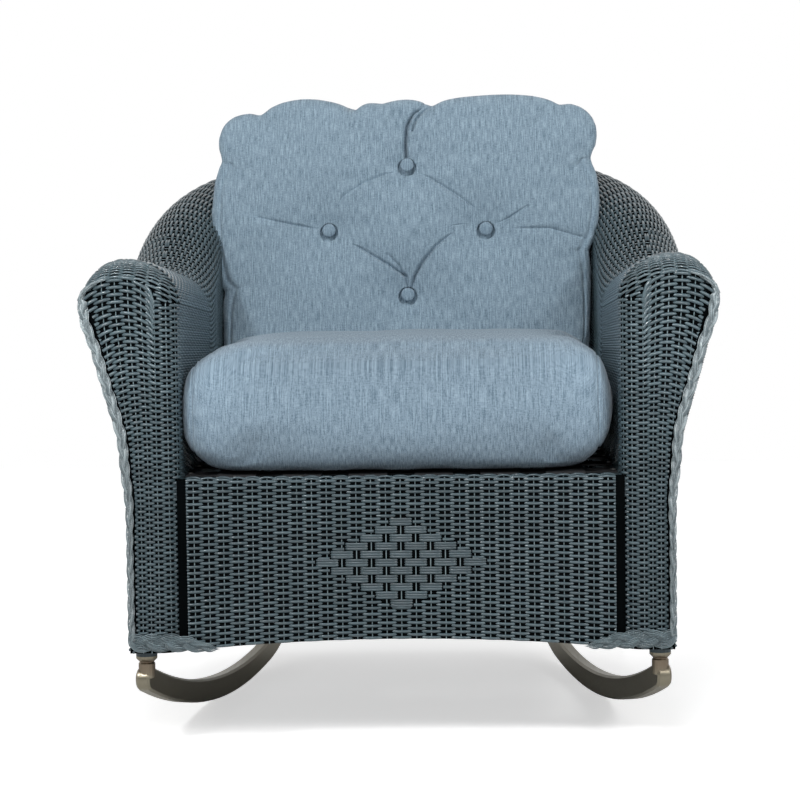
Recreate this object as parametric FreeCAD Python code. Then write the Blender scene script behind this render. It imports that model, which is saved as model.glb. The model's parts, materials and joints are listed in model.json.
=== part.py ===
import FreeCAD, Part
import math
import os

V = FreeCAD.Vector

# An outdoor lounge rocker. Woven sheets are wrapped over a frame of bent tubes, two loose cushions lie
# in the well between the arms, and two bent bars with round noses carry the legs and roll on the floor.
# Millimetres. +Z is up, -Y is the front, the origin is on the floor under the middle of the chair.
# Depth is measured backwards from the face of the arm fronts.

# Body of the chair
front_y = -428.5          # face of the arm fronts
well_reach = 283.0        # half the width between the arms
foot_reach = 353.0        # half the width of the skirt
skirt_height = 127.0      # lower edge of the weave above the floor
knee_height = 300.0       # where the outer wall turns from upright to flaring
deck_height = 354.0       # top of the seat webbing
arm_height = 640.0        # crest of the arm
arm_fall = 30.0           # how much lower the crest is where the arm meets the back
back_height = 816.0       # crest of the back in the middle
weave_thickness = 4.0
arm_length = 520.0        # depth at which the walls start to turn round the back
corner_round = 140.0      # plan radius of the well's rear corners
back_lean = 84.0          # how far the back's crest stands behind its foot
skirt_back_flare = 46.0   # how much further out the skirt stands at the back than at the sides

# Rolled top of the walls, from the inner wall over the crest to the outermost line
crest_reach = 74.0
crest_rise = 60.0
roll_reach = 52.0
roll_drop = 56.0
inner_handle_share = 0.55
crest_in_handle_share = 0.62
crest_out_handle_share = 0.62
roll_handle_share = 0.45
outer_handle_share = 0.29
knee_handle_share = 0.36
rise_run = 140.0          # how far ahead of the corner the crest starts to climb to the back
rise_soft_share = 0.1
rise_power = 1.9

# Arm fronts
front_round = 65.0        # depth of the soft turn from the face to the crest
front_drop = 26.0         # how much lower the crest is at the face
front_round_power = 2.5
front_corner = 30.0       # plan radius of the inner front corner

# Apron
apron_gap = 6.0
apron_setback = 9.0
apron_arch = 13.0
apron_lift = 2.0          # how far the apron's foot stays above the skirt
apron_return = 8.0

# Braid
braid_width = 22.0
arm_braid_width = 14.0
braid_thickness = 8.0
braid_foot_run = 118.0
braid_tip = 10.0
braid_low_share = 0.5
# Places up the flare from the knee, then over the crest from the outermost line in: each has its share of
# the curve and its share of the width
braid_wall_shares = [(0.85, 0.55), (0.7, 0.7), (0.55, 0.9), (0.4, 1.0), (0.25, 1.0), (0.12, 1.0), (0.0, 0.95)]
braid_crest_shares = [(0.8, 0.8), (0.6, 0.5), (0.4, 0.2)]

# Frame of bent tubes and square seat rails
tube_radius = 14.0
tube_wall = 1.5
tube_gap = 0.3
rail_size = 25.0
rail_wall = 2.0
rail_corner = 3.0
rod_radius = 4.0
flat_share = 1e-7         # how far out of plane a facet with four corners may be
leg_depth = 32.0
arm_bend = 60.0
leg_bend = 600.0          # gentle bend where the leg starts to lean outwards
leg_upright = 60.0        # how far above the knee the leg stays upright
valley_gap = 5.2          # extra room over the arm tube where it turns up to the back
rear_leg_gap = 56.0       # rear legs behind the well's rear wall
arm_tube_bend_runs = [190.0, 125.0, 65.0]   # how far ahead of the corner the arm tube turns up to the back
post_top_x = 168.0
post_kick = 40.0          # how far above the seat the rear post starts to lean
joint_share = 0.45        # how much of the shorter run a bend may use
tube_sides = 16
bore_sides = 8
rod_sides = 8
bend_step = 0.35          # radians of a bend that one ring of facets spans

# Rocker
bar_width = 19.0
bar_height = 32.0
bar_edge = 3.0
rock_radius = 1200.0
rock_depth = 435.0        # lowest point of the runners behind the arm fronts
sweep_start = 165.0       # where the tail starts to turn up, behind the lowest point
sweep_radius = 350.0
nose_reach = 428.0        # length of the runner ahead of its lowest point
tail_reach = 342.0        # length of the runner behind its lowest point
rear_leg_x = 207.0
nose_offset = 3.0         # how far outside the front leg's axis the runner's axis passes
foot_height = 13.0
weld_bead = 1.5

# Seat webbing
strap_width = 50.0
strap_thickness = 2.0
long_straps = 6
cross_straps = 5
rivet_radius = 4.0
rivet_height = 1.5
rivet_shank_radius = 2.0
rivet_sides = 6
rivet_inset = 6.0

# Cushions
cushion_gap = 2.0
rest_gap = 0.3
seat_front = 5.0
seat_length = 500.0
seat_height = 163.0
seat_crown = 22.0
seat_corner = 60.0
seat_edge = 40.0
seat_pull = 5.0
# From the underside up: share of the height, share of the edge drawn in
seat_level_shares = [(0.0, 1.0), (0.04, 0.4), (0.16, 0.08), (0.5, 0.0), (0.84, 0.08), (0.96, 0.4), (1.0, 1.0)]
# The crown: share of its rise, share of the edge drawn in, share of the corner's radius, share of the pull
seat_crown_shares = [(0.45, 2.0, 0.8, 0.65), (0.85, 3.5, 0.8, 0.25), (1.0, 5.5, 0.24, 0.1)]
back_thickness = 150.0
back_cushion_height = 532.0
back_cushion_reach = 276.0
back_crown = 16.0
panel_edge = 34.0
button_radius = 10.5
button_height = 6.0
button_profile_shares = [(1.0, 0.0), (1.0, 0.25), (0.72, 0.75), (0.25, 1.0)]
button_span = 119.0
button_rise = 98.0
button_centre_height = 320.0
tuft_radius = 46.0
tuft_depth = 20.0
tuft_sides = 12
tuft_ring_shares = [0.25, 0.55, 0.8, 1.0, 1.2]
tie_radius = 1.5
rear_tuft_depth = 7.0
button_lift = 1.3
scallop = 9.0

cut_overrun = 20.0
curve_steps = 5           # straight facets over each curve of a weave's section
wall_steps = 5
arc_steps = 3             # straight facets over each arc of a cushion's outline
same_place = 1e-3         # places closer together than this count as one
same_way_share = 1e-6     # how far from one an edge's cosine may be to count as parallel

# Places worked out from the sizes above
apron_roll = rail_corner + weave_thickness
crest_line = crest_reach + roll_reach
skirt_reach = foot_reach - well_reach
corner_x = well_reach - corner_round
well_depth = arm_length + corner_round
rise_start = arm_length - rise_run
rear_leg_depth = well_depth + rear_leg_gap
leg_x = foot_reach - weave_thickness - tube_gap - tube_radius
crest_path = corner_round + crest_reach
rail_top = deck_height - 2 * strap_thickness
rail_centre = rail_top - rail_size / 2
front_rail_depth = apron_setback + weave_thickness + tube_gap + rail_size / 2
side_rail_start = front_rail_depth + rail_size / 2
leg_return = side_rail_start - tube_gap      # the weave turns in behind the front corner up to the side rail
side_rail_x = well_reach + weave_thickness / 2
rear_rail_depth = well_depth + weave_thickness / 2
rail_ring = corner_round + weave_thickness / 2
runner_slope = (leg_x + nose_offset - rear_leg_x) / (rear_leg_depth - leg_depth)
runner_turn = math.atan(runner_slope)
arm_bends = [leg_bend, arm_bend] + [leg_bend] * 3


def export(name, shape):
    solids = shape.Solids
    for solid in solids:
        if not solid.isValid() or solid.Volume <= 0:
            print("NOT VALID", name, solid.Volume)
    body = solids[0] if len(solids) == 1 else Part.makeCompound(solids)
    body.exportStep("parts/" + name + ".step")
    print(name, len(solids), round(body.Volume / 1000.0, 1))
    return body


def both_sides(name, shape):
    export(name + "_right", shape)
    export(name + "_left", shape.mirror(V(0, 0, 0), V(1, 0, 0)))


def at(x, depth, z):
    return V(x, front_y + depth, z)


# A station is a place along the well's edge: a point of the inner wall's foot and the way outwards
class Station:
    def __init__(self, x, depth, out_x, out_depth, path, turn):
        self.x = x
        self.depth = depth
        self.out_x = out_x
        self.out_depth = out_depth
        soft = turn * turn * (3 - 2 * turn)
        self.lean = back_lean * soft / (back_height - rail_top)
        self.skirt = skirt_reach + skirt_back_flare * soft
        self.crest = crest_height(path)
        self.edge = self.crest - crest_rise
        self.roll = self.crest - roll_drop
        self.inner = 0.0

    def point(self, s, z):
        return at(self.x + self.out_x * s, self.depth + self.out_depth * s, z)

    def leaning(self, s, z):
        return self.point(s + self.lean * (z - rail_top), z)


def crest_height(path):
    # path runs along the crest from the face of the arm to the middle of the back
    whole = arm_length + crest_path * math.pi / 2 + corner_x
    low = arm_height - arm_fall * min(path, arm_length) / arm_length
    share = (path - rise_start) / (whole - rise_start)
    if share <= 0:
        return low
    soft = math.sqrt(share * share + rise_soft_share ** 2) - rise_soft_share
    soft = soft / (math.sqrt(1 + rise_soft_share ** 2) - rise_soft_share)
    return low + (back_height - low) * (1 - (1 - soft) ** rise_power)


def arm_station(depth):
    station = Station(well_reach, depth, 1, 0, depth, 0)
    if depth < front_round:
        drop = front_drop * (1 - depth / front_round) ** front_round_power
        station.crest = station.crest - drop
    if depth < front_corner:
        away = front_corner - depth
        station.inner = front_corner - math.sqrt(front_corner ** 2 - away ** 2)
    return station


def corner_station(turn):
    angle = turn * math.pi / 2
    out_x = math.cos(angle)
    out_depth = math.sin(angle)
    path = arm_length + crest_path * angle
    return Station(corner_x + corner_round * out_x, arm_length + corner_round * out_depth,
                   out_x, out_depth, path, turn)


def back_station(x):
    path = arm_length + crest_path * math.pi / 2 + corner_x - abs(x)
    return Station(x, well_depth, 0, 1, path, 1)


def bezier_at(poles, share):
    rest = 1 - share
    start = poles[0] * rest ** 3 + poles[1] * (3 * share * rest ** 2)
    return start + poles[2] * (3 * rest * share ** 2) + poles[3] * share ** 3


def bezier_points(poles, steps):
    # points of a cubic curve at even steps of its parameter
    return [bezier_at(poles, i / steps) for i in range(steps + 1)]


def line(start, end):
    return Part.LineSegment(start, end).toShape()


def polygon(points):
    return Part.makePolygon(points + points[:1])


def skin(rings):
    # closed solid over rings of as many points each, with flat facets between them
    faces = [Part.Face(polygon(rings[0])), Part.Face(polygon(rings[-1]))]
    for first, second in zip(rings, rings[1:]):
        for i in range(len(first)):
            a, b = first[i - 1], first[i]
            c, d = second[i], second[i - 1]
            way = (b - a).cross(d - a)
            if abs(way.dot(c - a)) < flat_share * way.Length:
                faces.append(Part.Face(polygon([a, b, c, d])))
            else:
                faces.append(Part.Face(polygon([a, b, c])))
                faces.append(Part.Face(polygon([a, c, d])))
    shell = Part.Shell(faces)
    shell.sewShape()
    solid = Part.Solid(shell)
    if solid.Volume < 0:
        solid.reverse()
    return solid


def inner_ring(station):
    t = weave_thickness
    return [station.leaning(0, rail_top), station.leaning(0, station.edge),
            station.leaning(t, station.edge), station.leaning(t, rail_top)]


def crest_poles_out(station, inset):
    # from the top of the crest to the outermost line
    p = station.leaning
    top = station.crest - inset
    crest_out = crest_out_handle_share * (roll_reach - inset)
    roll_up = roll_handle_share * (station.crest - station.roll - inset)
    return [p(crest_reach, top), p(crest_reach + crest_out, top),
            p(crest_line - inset, station.roll + roll_up), p(crest_line - inset, station.roll)]


def crest_points(station, inset):
    # inner wall over the crest to the outermost line, or the same curve drawn in by the weave's thickness
    start = station.inner
    reach = crest_reach - start
    rise = station.crest - station.edge
    in_up = inner_handle_share * (rise - inset)
    crest_in = crest_in_handle_share * (reach - inset)
    p = station.leaning
    top = station.crest - inset
    inner = bezier_points([p(start + inset, station.edge), p(start + inset, station.edge + in_up),
                           p(crest_reach - crest_in, top), p(crest_reach, top)], curve_steps)
    return inner + bezier_points(crest_poles_out(station, inset), curve_steps)[1:]


def crest_ring(station):
    return crest_points(station, 0) + crest_points(station, weave_thickness)[::-1]


def wall_poles(station, inset):
    # from the outermost line down to the knee
    fall = station.roll - knee_height
    shift = station.lean * (station.roll - rail_top)
    roll = station.leaning(crest_line - inset, station.roll)
    below_roll = station.point(crest_line - inset + shift - station.lean * outer_handle_share * fall,
                               station.roll - outer_handle_share * fall)
    knee = station.point(station.skirt - inset, knee_height)
    above_knee = station.point(station.skirt - inset, knee_height + knee_handle_share * fall)
    return [roll, below_roll, above_knee, knee]


def wall_points(station, inset):
    flare = bezier_points(wall_poles(station, inset), wall_steps)
    return flare + [station.point(station.skirt - inset, skirt_height)]


def wall_ring(station):
    return wall_points(station, 0) + wall_points(station, weave_thickness)[::-1]


corner_depth_shares = [0.0, 0.125, 0.333, 0.667, 1.0]
front_depth_share = 0.7
climb_shares = [-0.25, 0.0, 0.2, 0.4, 0.6, 0.8, 1.0]
arm_depths = [front_corner * share for share in corner_depth_shares]
arm_depths = arm_depths + [front_round * front_depth_share, front_round, arm_length / 2]
arm_depths = arm_depths + [rise_start + rise_run * share for share in climb_shares]
corner_shares = [0.0, 0.125, 0.25, 0.375, 0.5, 0.625, 0.75, 0.875, 1.0]
rim_turn_shares = [0.0, 0.25, 0.5, 0.75, 1.0]
rim_back_share = 0.4
back_shares = [1.0, 0.0, -1.0]
arm_stations = [arm_station(depth) for depth in arm_depths]
corner_stations = [corner_station(share) for share in corner_shares]
back_stations = [back_station(corner_x * share) for share in back_shares]


def plan_ring(low, high, end_depth):
    # inner wall of the arm, with its round front corner, as a strip standing on its plan
    t = weave_thickness
    centre_x = well_reach + front_corner
    r = front_corner
    half = math.sqrt(0.5)
    outside = Part.Arc(at(centre_x, 0, low), at(centre_x - r * half, r - r * half, low),
                       at(centre_x - r, r, low)).toShape()
    q = r - t
    inside = Part.Arc(at(centre_x - q, r, low), at(centre_x - q * half, r - q * half, low),
                      at(centre_x, t, low)).toShape()
    strip = Part.Wire([outside, line(at(well_reach, r, low), at(well_reach, end_depth, low)),
                       line(at(well_reach, end_depth, low), at(well_reach + t, end_depth, low)),
                       line(at(well_reach + t, end_depth, low), at(well_reach + t, r, low)),
                       inside, line(at(centre_x, t, low), at(centre_x, 0, low))])
    return Part.Face(strip).extrude(V(0, 0, high - low))


def inner_arm():
    # the top edge follows the crest, level steps of the arm's own stations
    wall = plan_ring(rail_top, arm_height, arm_length)
    x_in = well_reach - cut_overrun
    x_out = well_reach + front_corner + cut_overrun
    outline = [at(x_in, s.depth, s.edge) for s in arm_stations[1:]]
    outline = [at(x_in, -cut_overrun, arm_stations[0].roll - crest_rise + roll_drop)] + outline
    end = arm_length + cut_overrun
    outline = outline + [at(x_in, end, arm_stations[-1].edge), at(x_in, end, back_height),
                         at(x_in, -cut_overrun, back_height)]
    above = Part.Face(Part.makePolygon(outline + outline[:1])).extrude(V(x_out - x_in, 0, 0))
    return wall.cut(above)


def arm_front():
    station = arm_stations[0]
    t = weave_thickness
    p = station.point
    side = p(front_corner, station.edge)
    lower = p(front_corner, skirt_height)
    outline = [lower, side] + crest_points(station, t) + wall_points(station, t)[1:]
    plate = Part.Face(polygon(outline)).extrude(V(0, t, 0))
    corner = plan_ring(skirt_height, rail_top, leg_return)
    front = plate.fuse(corner).removeSplitter().cut(front_rail_space())
    return front.cut(rod(apron_rod_line(), rod_radius + tube_gap))


def front_rail_space():
    gap = tube_gap
    size = rail_size + 2 * gap
    space = Part.makeBox(2 * foot_reach, size, size + cut_overrun)
    space.translate(at(-foot_reach, front_rail_depth - size / 2, rail_centre - size / 2))
    return space


def path_wire(points, radii=None):
    edges = []
    last = points[0]
    for i in range(1, len(points) - 1):
        before = (points[i - 1] - points[i])
        after = (points[i + 1] - points[i])
        run = joint_share * min(before.Length, after.Length)
        before.normalize()
        after.normalize()
        half = (math.pi - before.getAngle(after)) / 2
        if radii:
            run = min(run, radii[i - 1] * math.tan(half))
        start = points[i] + before * run
        end = points[i] + after * run
        radius = run / math.tan(half)
        towards = (before + after)
        towards.normalize()
        middle = points[i] + towards * (radius / math.cos(half) - radius)
        edges.append(line(last, start))
        edges.append(Part.Arc(start, middle, end).toShape())
        last = end
    edges.append(line(last, points[-1]))
    return Part.Wire(edges)


def ring_round(centre, way, side, radius, sides):
    # even polygon round a point, square to the way, its first corner towards the side
    other = way.cross(side)
    ring = []
    for i in range(sides):
        angle = 2 * math.pi * i / sides
        ring.append(centre + side * (radius * math.cos(angle)) + other * (radius * math.sin(angle)))
    return ring


def rod(points, radius, radii=None, sides=tube_sides):
    # facets swept along straight runs and round bends, the section carried on without a twist
    places = []
    for edge in path_wire(points, radii).Edges:
        span = edge.LastParameter - edge.FirstParameter
        steps = 1
        if edge.Curve.TypeId == "Part::GeomCircle":
            steps = max(1, math.ceil(span / bend_step))
        for i in range(steps + 1):
            value = edge.FirstParameter + span * i / steps
            places.append((edge.valueAt(value), edge.tangentAt(value)))
    kept = places[:1]
    for place in places[1:]:
        if (place[0] - kept[-1][0]).Length > rod_radius:
            kept.append(place)
    way = kept[0][1]
    side = way.cross(V(0, 1, 0)) if abs(way.y) < abs(way.z) else way.cross(V(0, 0, 1))
    rings = []
    for centre, way in kept:
        side = side - way * side.dot(way)
        side.normalize()
        rings.append(ring_round(centre, way, side, radius, sides))
    return skin(rings)


def tube(points, radius, radii=None):
    return rod(points, radius, radii).cut(rod(points, radius - tube_wall, radii, bore_sides))


def square_rail(start, end):
    # square tube between two points at the same height, along x or along the depth
    low = V(min(start.x, end.x), min(start.y, end.y), rail_top - rail_size)
    along_x = abs(end.x - start.x) > abs(end.y - start.y)
    length = max(abs(end.x - start.x), abs(end.y - start.y))
    shift = V(0, -rail_size / 2, 0) if along_x else V(-rail_size / 2, 0, 0)
    size = (length, rail_size) if along_x else (rail_size, length)
    outer = Part.makeBox(size[0], size[1], rail_size)
    outer.translate(low + shift)
    way = V(1, 0, 0) if along_x else V(0, 1, 0)
    edges = [e for e in outer.Edges if abs(abs(e.tangentAt(e.FirstParameter).dot(way)) - 1) < same_way_share]
    outer = outer.makeChamfer(rail_corner, edges)
    w = rail_wall
    bore = (length, rail_size - 2 * w) if along_x else (rail_size - 2 * w, length)
    inside = Part.makeBox(bore[0], bore[1], rail_size - 2 * w)
    inside.translate(low + shift + (V(0, w, w) if along_x else V(w, 0, w)))
    return outer.cut(inside)


# Runner in its own plane: u runs backwards from the lowest point, z up
def bar_bottom(u):
    if u <= sweep_start:
        return rock_radius - math.sqrt(rock_radius ** 2 - u * u)
    slope_angle = math.asin(sweep_start / rock_radius)
    centre_u = sweep_start - sweep_radius * math.sin(slope_angle)
    centre_z = bar_bottom(sweep_start) + sweep_radius * math.cos(slope_angle)
    return centre_z - math.sqrt(sweep_radius ** 2 - (u - centre_u) ** 2)


def runner_profile_point(u, offset):
    if u <= sweep_start:
        angle = math.asin(u / rock_radius)
    else:
        turn = math.asin(sweep_start / rock_radius)
        centre_u = sweep_start - sweep_radius * math.sin(turn)
        angle = math.asin((u - centre_u) / sweep_radius)
    return V(0, u - offset * math.sin(angle), bar_bottom(u) + offset * math.cos(angle)), angle


def runner_bar():
    h = bar_height

    def point(u, offset):
        return runner_profile_point(u, offset)[0]

    def arc(u_start, u_end, offset):
        return Part.Arc(point(u_start, offset), point((u_start + u_end) / 2, offset),
                        point(u_end, offset)).toShape()

    nose_u = -nose_reach + h / 2
    nose_middle, nose_angle = runner_profile_point(nose_u, h / 2)
    nose_tip = nose_middle - V(0, math.cos(nose_angle), math.sin(nose_angle)) * (h / 2)
    tail_u = tail_reach - h / 2
    tail_middle, tail_angle = runner_profile_point(tail_u, h / 2)
    tail_tip = tail_middle + V(0, math.cos(tail_angle), math.sin(tail_angle)) * (h / 2)
    outline = Part.Wire([arc(nose_u, sweep_start, 0), arc(sweep_start, tail_u, 0),
                         Part.Arc(point(tail_u, 0), tail_tip, point(tail_u, h)).toShape(),
                         arc(tail_u, sweep_start, h), arc(sweep_start, nose_u, h),
                         Part.Arc(point(nose_u, h), nose_tip, point(nose_u, 0)).toShape()])
    bar = Part.Face(outline).extrude(V(bar_width, 0, 0))
    bar.translate(V(-bar_width / 2, 0, 0))
    edges = [e for e in bar.Edges if e.CenterOfMass.x > bar_width / 4 or e.CenterOfMass.x < -bar_width / 4]
    edges = [e for e in edges if abs(abs(e.CenterOfMass.x) - bar_width / 2) < same_place]
    bar = bar.makeChamfer(bar_edge, edges)
    bar.rotate(V(0, 0, 0), V(0, 0, 1), math.degrees(runner_turn))
    bar.translate(at(runner_x(rock_depth), rock_depth, 0))
    return bar


def runner_x(depth):
    return leg_x + nose_offset - runner_slope * (depth - leg_depth)


def bar_top(depth):
    u = (depth - rock_depth) / math.cos(runner_turn)
    point, angle = runner_profile_point(u, 0)
    return point.z + bar_height / math.cos(angle)


def leg_foot(x, depth):
    # the tube's end is closed by a waisted plug that stands on the bar, with a bead of weld round it
    low = bar_top(depth) - bar_height / 2
    top = bar_top(depth) + foot_height
    wide = tube_radius
    narrow = bar_width / 2
    bead = narrow + weld_bead
    bead_z = bar_top(depth) + 2 * weld_bead
    shoulder = top - foot_height / 4
    profile = [(bead, low), (bead, bead_z), (narrow, bead_z + weld_bead),
               (narrow, shoulder - (wide - narrow)), (wide, shoulder), (wide, top)]
    return skin([ring_round(at(x, depth, z), V(0, 0, 1), V(1, 0, 0), radius, tube_sides)
                 for radius, z in profile])


def build_weave():
    both_sides("arm_front_weave", arm_front())
    both_sides("arm_inner_weave", inner_arm())
    both_sides("arm_crest_weave", skin([crest_ring(s) for s in arm_stations]))
    both_sides("arm_outer_weave", skin([wall_ring(s) for s in arm_stations]))
    both_sides("corner_inner_weave", skin([inner_ring(s) for s in corner_stations]))
    both_sides("corner_crest_weave", skin([crest_ring(s) for s in corner_stations]))
    both_sides("corner_outer_weave", skin([wall_ring(s) for s in corner_stations]))
    export("back_inner_weave", skin([inner_ring(s) for s in back_stations]))
    export("back_crest_weave", skin([crest_ring(s) for s in back_stations]))
    export("back_outer_weave", skin([wall_ring(s) for s in back_stations]))


def apron():
    # a hanging panel with an arched foot, rolled back over the front rail
    t = weave_thickness
    reach = well_reach - apron_gap
    low = skirt_height + apron_lift
    face = apron_setback
    half = math.sqrt(0.5)
    bend = rail_top + t - apron_roll
    turned = face + apron_roll
    back = turned + apron_return
    inner_roll = apron_roll - t
    side = Part.Wire([line(at(0, face, low), at(0, face, bend)),
                      Part.Arc(at(0, face, bend),
                               at(0, turned - apron_roll * half, bend + apron_roll * half),
                               at(0, turned, rail_top + t)).toShape(),
                      line(at(0, turned, rail_top + t), at(0, back, rail_top + t)),
                      line(at(0, back, rail_top + t), at(0, back, rail_top)),
                      line(at(0, back, rail_top), at(0, turned, rail_top)),
                      Part.Arc(at(0, turned, rail_top),
                               at(0, turned - inner_roll * half, bend + inner_roll * half),
                               at(0, face + t, bend)).toShape(),
                      line(at(0, face + t, bend), at(0, face + t, low)),
                      line(at(0, face + t, low), at(0, face, low))])
    panel = Part.Face(side).extrude(V(2 * reach, 0, 0))
    panel.translate(V(-reach, 0, 0))
    under = [at(-reach - cut_overrun, 0, low - cut_overrun), at(-reach - cut_overrun, 0, low),
             at(-reach, 0, low), at(0, 0, low + apron_arch), at(reach, 0, low),
             at(reach + cut_overrun, 0, low), at(reach + cut_overrun, 0, low - cut_overrun)]
    arch = Part.Wire([line(under[0], under[1]), line(under[1], under[2]),
                      Part.Arc(under[2], under[3], under[4]).toShape(), line(under[4], under[5]),
                      line(under[5], under[6]), line(under[6], under[0])])
    space = Part.Face(arch).extrude(V(0, cut_overrun + face + t, 0))
    return panel.cut(space)


def braid_rings(points, widths):
    # flat band with a rounded front that follows a line on the face, its width towards the arm's middle
    rings = []
    out = V(0, -braid_thickness / 2, 0)
    for i, point in enumerate(points):
        along = points[min(i + 1, len(points) - 1)] - points[max(i - 1, 0)]
        across = along.cross(V(0, 1, 0))
        across.normalize()
        if across.x > 0:
            across = across * -1
        far = point + across * widths[i]
        edge = across * (widths[i] / 4)
        rings.append([point, point + out, point + edge + out * 2, far - edge + out * 2, far + out, far])
    return rings


def arm_braid():
    station = arm_stations[0]
    flare = wall_poles(station, 0)
    crest = crest_poles_out(station, 0)
    points = [station.point(station.skirt, skirt_height + braid_width),
              station.point(station.skirt, knee_height - braid_width)]
    points = points + [bezier_at(flare, share) for share, unused in braid_wall_shares]
    points = points + [bezier_at(crest, share) for share, unused in braid_crest_shares]
    shares = [braid_low_share] * 2 + [share for unused, share in braid_wall_shares + braid_crest_shares]
    return skin(braid_rings(points, [arm_braid_width * share for share in shares]))


def foot_braid():
    # lies along the bottom of the arm front and runs on under the end of the apron
    y = front_y
    run = braid_foot_run
    outer_x = foot_reach
    low = skirt_height
    high = low + braid_width
    inner_x = outer_x - run
    outline = Part.Wire([line(V(outer_x, y, low), V(outer_x, y, high)),
                         line(V(outer_x, y, high), V(inner_x + braid_tip, y, high)),
                         Part.Arc(V(inner_x + braid_tip, y, high), V(inner_x, y, (low + high) / 2),
                                  V(inner_x + braid_tip, y, low)).toShape(),
                         line(V(inner_x + braid_tip, y, low), V(outer_x, y, low))])
    band = Part.Face(outline).extrude(V(0, -braid_thickness, 0))
    front = [e for e in band.Edges if abs(e.CenterOfMass.y - (y - braid_thickness)) < same_place]
    return band.makeChamfer(braid_thickness / 2, front)


def build_trim():
    export("apron_weave", apron())
    both_sides("arm_braid", arm_braid())
    both_sides("foot_braid", foot_braid())


def arm_line():
    inset = weave_thickness + tube_gap + tube_radius
    x = well_reach + crest_reach
    points = [at(leg_x, leg_depth, bar_top(leg_depth) + foot_height),
              at(leg_x, leg_depth, knee_height + leg_upright),
              at(x, leg_depth, arm_stations[3].crest - inset)]
    for run in arm_tube_bend_runs + [0]:
        depth = arm_length - run
        points.append(at(x, depth, crest_height(depth) - inset - valley_gap))
    return points


def rim_points():
    inset = weave_thickness + tube_gap + tube_radius
    stations = [corner_station(share) for share in rim_turn_shares]
    stations.append(back_station(corner_x * rim_back_share))
    return [s.leaning(crest_reach, s.crest - inset - valley_gap) for s in stations]


def rear_post_line():
    lean = back_lean / (back_height - rail_top)
    start = deck_height + post_kick
    top = back_station(post_top_x).crest - weave_thickness - tube_gap - tube_radius
    foot_z = bar_top(rear_leg_depth) + foot_height
    return [at(rear_leg_x, rear_leg_depth, foot_z), at(rear_leg_x, rear_leg_depth, start),
            at(post_top_x, rear_leg_depth + lean * (top - start), top)]


def build_frame():
    arm = arm_line()
    half = rim_points()
    other = [V(-p.x, p.y, p.z) for p in half]
    rim_line = half + other[::-1]
    rim_solid = rod(rim_line, tube_radius)
    rim = rim_solid.cut(rod(rim_line, tube_radius - tube_wall, sides=bore_sides))
    arm_tube = tube(arm, tube_radius, arm_bends).cut(rim_solid)
    post = tube(rear_post_line(), tube_radius).cut(rim_solid)
    post_space = rod(rear_post_line(), tube_radius + tube_gap)
    leg_space = rod(arm, tube_radius, arm_bends)
    runner = runner_bar()
    front_foot = leg_foot(leg_x, leg_depth).cut(runner)
    rear_foot = leg_foot(rear_leg_x, rear_leg_depth).cut(runner)
    both_sides("runner", runner)
    both_sides("arm_tube", arm_tube)
    both_sides("rear_post", post)
    export("back_rim_tube", rim)
    feet = []
    for foot in (front_foot, rear_foot):
        pieces = sorted(foot.Solids, key=lambda s: -s.CenterOfMass.z)
        feet = feet + [pieces[0], pieces[0].mirror(V(0, 0, 0), V(1, 0, 0))]
    export("leg_foot_plugs", Part.makeCompound(feet))
    front_rail = square_rail(at(-leg_x, front_rail_depth, 0), at(leg_x, front_rail_depth, 0))
    both_legs = leg_space.fuse(leg_space.mirror(V(0, 0, 0), V(1, 0, 0)))
    front_rail = front_rail.cut(both_legs)
    front_rail = sorted(front_rail.Solids, key=lambda s: -s.Volume)[0]
    side_rail = square_rail(at(side_rail_x, side_rail_start, 0), at(side_rail_x, arm_length, 0))
    rear_rail = square_rail(at(-corner_x, rear_rail_depth, 0), at(corner_x, rear_rail_depth, 0))
    corner_rail = rail_quarter()
    corner_block = rail_quarter(solid=True)
    both_sides("rear_rail_bracket", rail_bracket().cut(corner_block).cut(post_space))
    skirt_rod = rod(skirt_rod_line(), rod_radius, sides=rod_sides).cut(leg_space)
    rods = [skirt_rod, rod(apron_rod_line(), rod_radius, sides=rod_sides).cut(both_legs)]
    both_sides("skirt_rod", sorted(rods[0].Solids, key=lambda piece: -piece.Volume)[0])
    export("apron_rod", sorted(rods[1].Solids, key=lambda piece: -piece.Volume)[0])
    return front_rail, side_rail, corner_rail, rear_rail


def rail_quarter(solid=False):
    # the seat rail turned round the rear corner of the well, in short straight lengths
    half = rail_size / 2
    bore = half - rail_wall
    cut = half - rail_corner
    outside = [(-half, -cut), (-cut, -half), (cut, -half), (half, -cut),
               (half, cut), (cut, half), (-cut, half), (-half, cut)]
    inside = [(-bore, -bore), (bore, -bore), (bore, bore), (-bore, bore)]

    def turned(section):
        rings = []
        for share in corner_shares:
            angle = share * math.pi / 2
            rings.append([at(corner_x + (rail_ring + s) * math.cos(angle),
                             arm_length + (rail_ring + s) * math.sin(angle), rail_centre + z)
                          for s, z in section])
        return skin(rings)

    outer = turned(outside)
    return outer if solid else outer.cut(turned(inside))


def rail_bracket():
    # short square bar from the corner rail out to the rear post
    way_x = rear_leg_x - corner_x
    way_depth = rear_leg_depth - arm_length
    reach = math.hypot(way_x, way_depth)
    bar = Part.makeBox(reach - rail_ring, rail_size / 2, rail_size)
    bar.translate(V(rail_ring, -rail_size / 4, rail_top - rail_size))
    bar.rotate(V(0, 0, 0), V(0, 0, 1), math.degrees(math.atan2(way_depth, way_x)))
    bar.translate(at(corner_x, arm_length, 0))
    return bar


def skirt_rod_line():
    away = weave_thickness + tube_gap + rod_radius
    z = skirt_height + 2 * rod_radius
    stations = [corner_station(share) for share in rim_turn_shares]
    points = [at(foot_reach - away, leg_depth, z)]
    points = points + [s.point(s.skirt - away, z) for s in stations]
    return points + [at(0, well_depth + skirt_reach + skirt_back_flare - away, z)]


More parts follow.
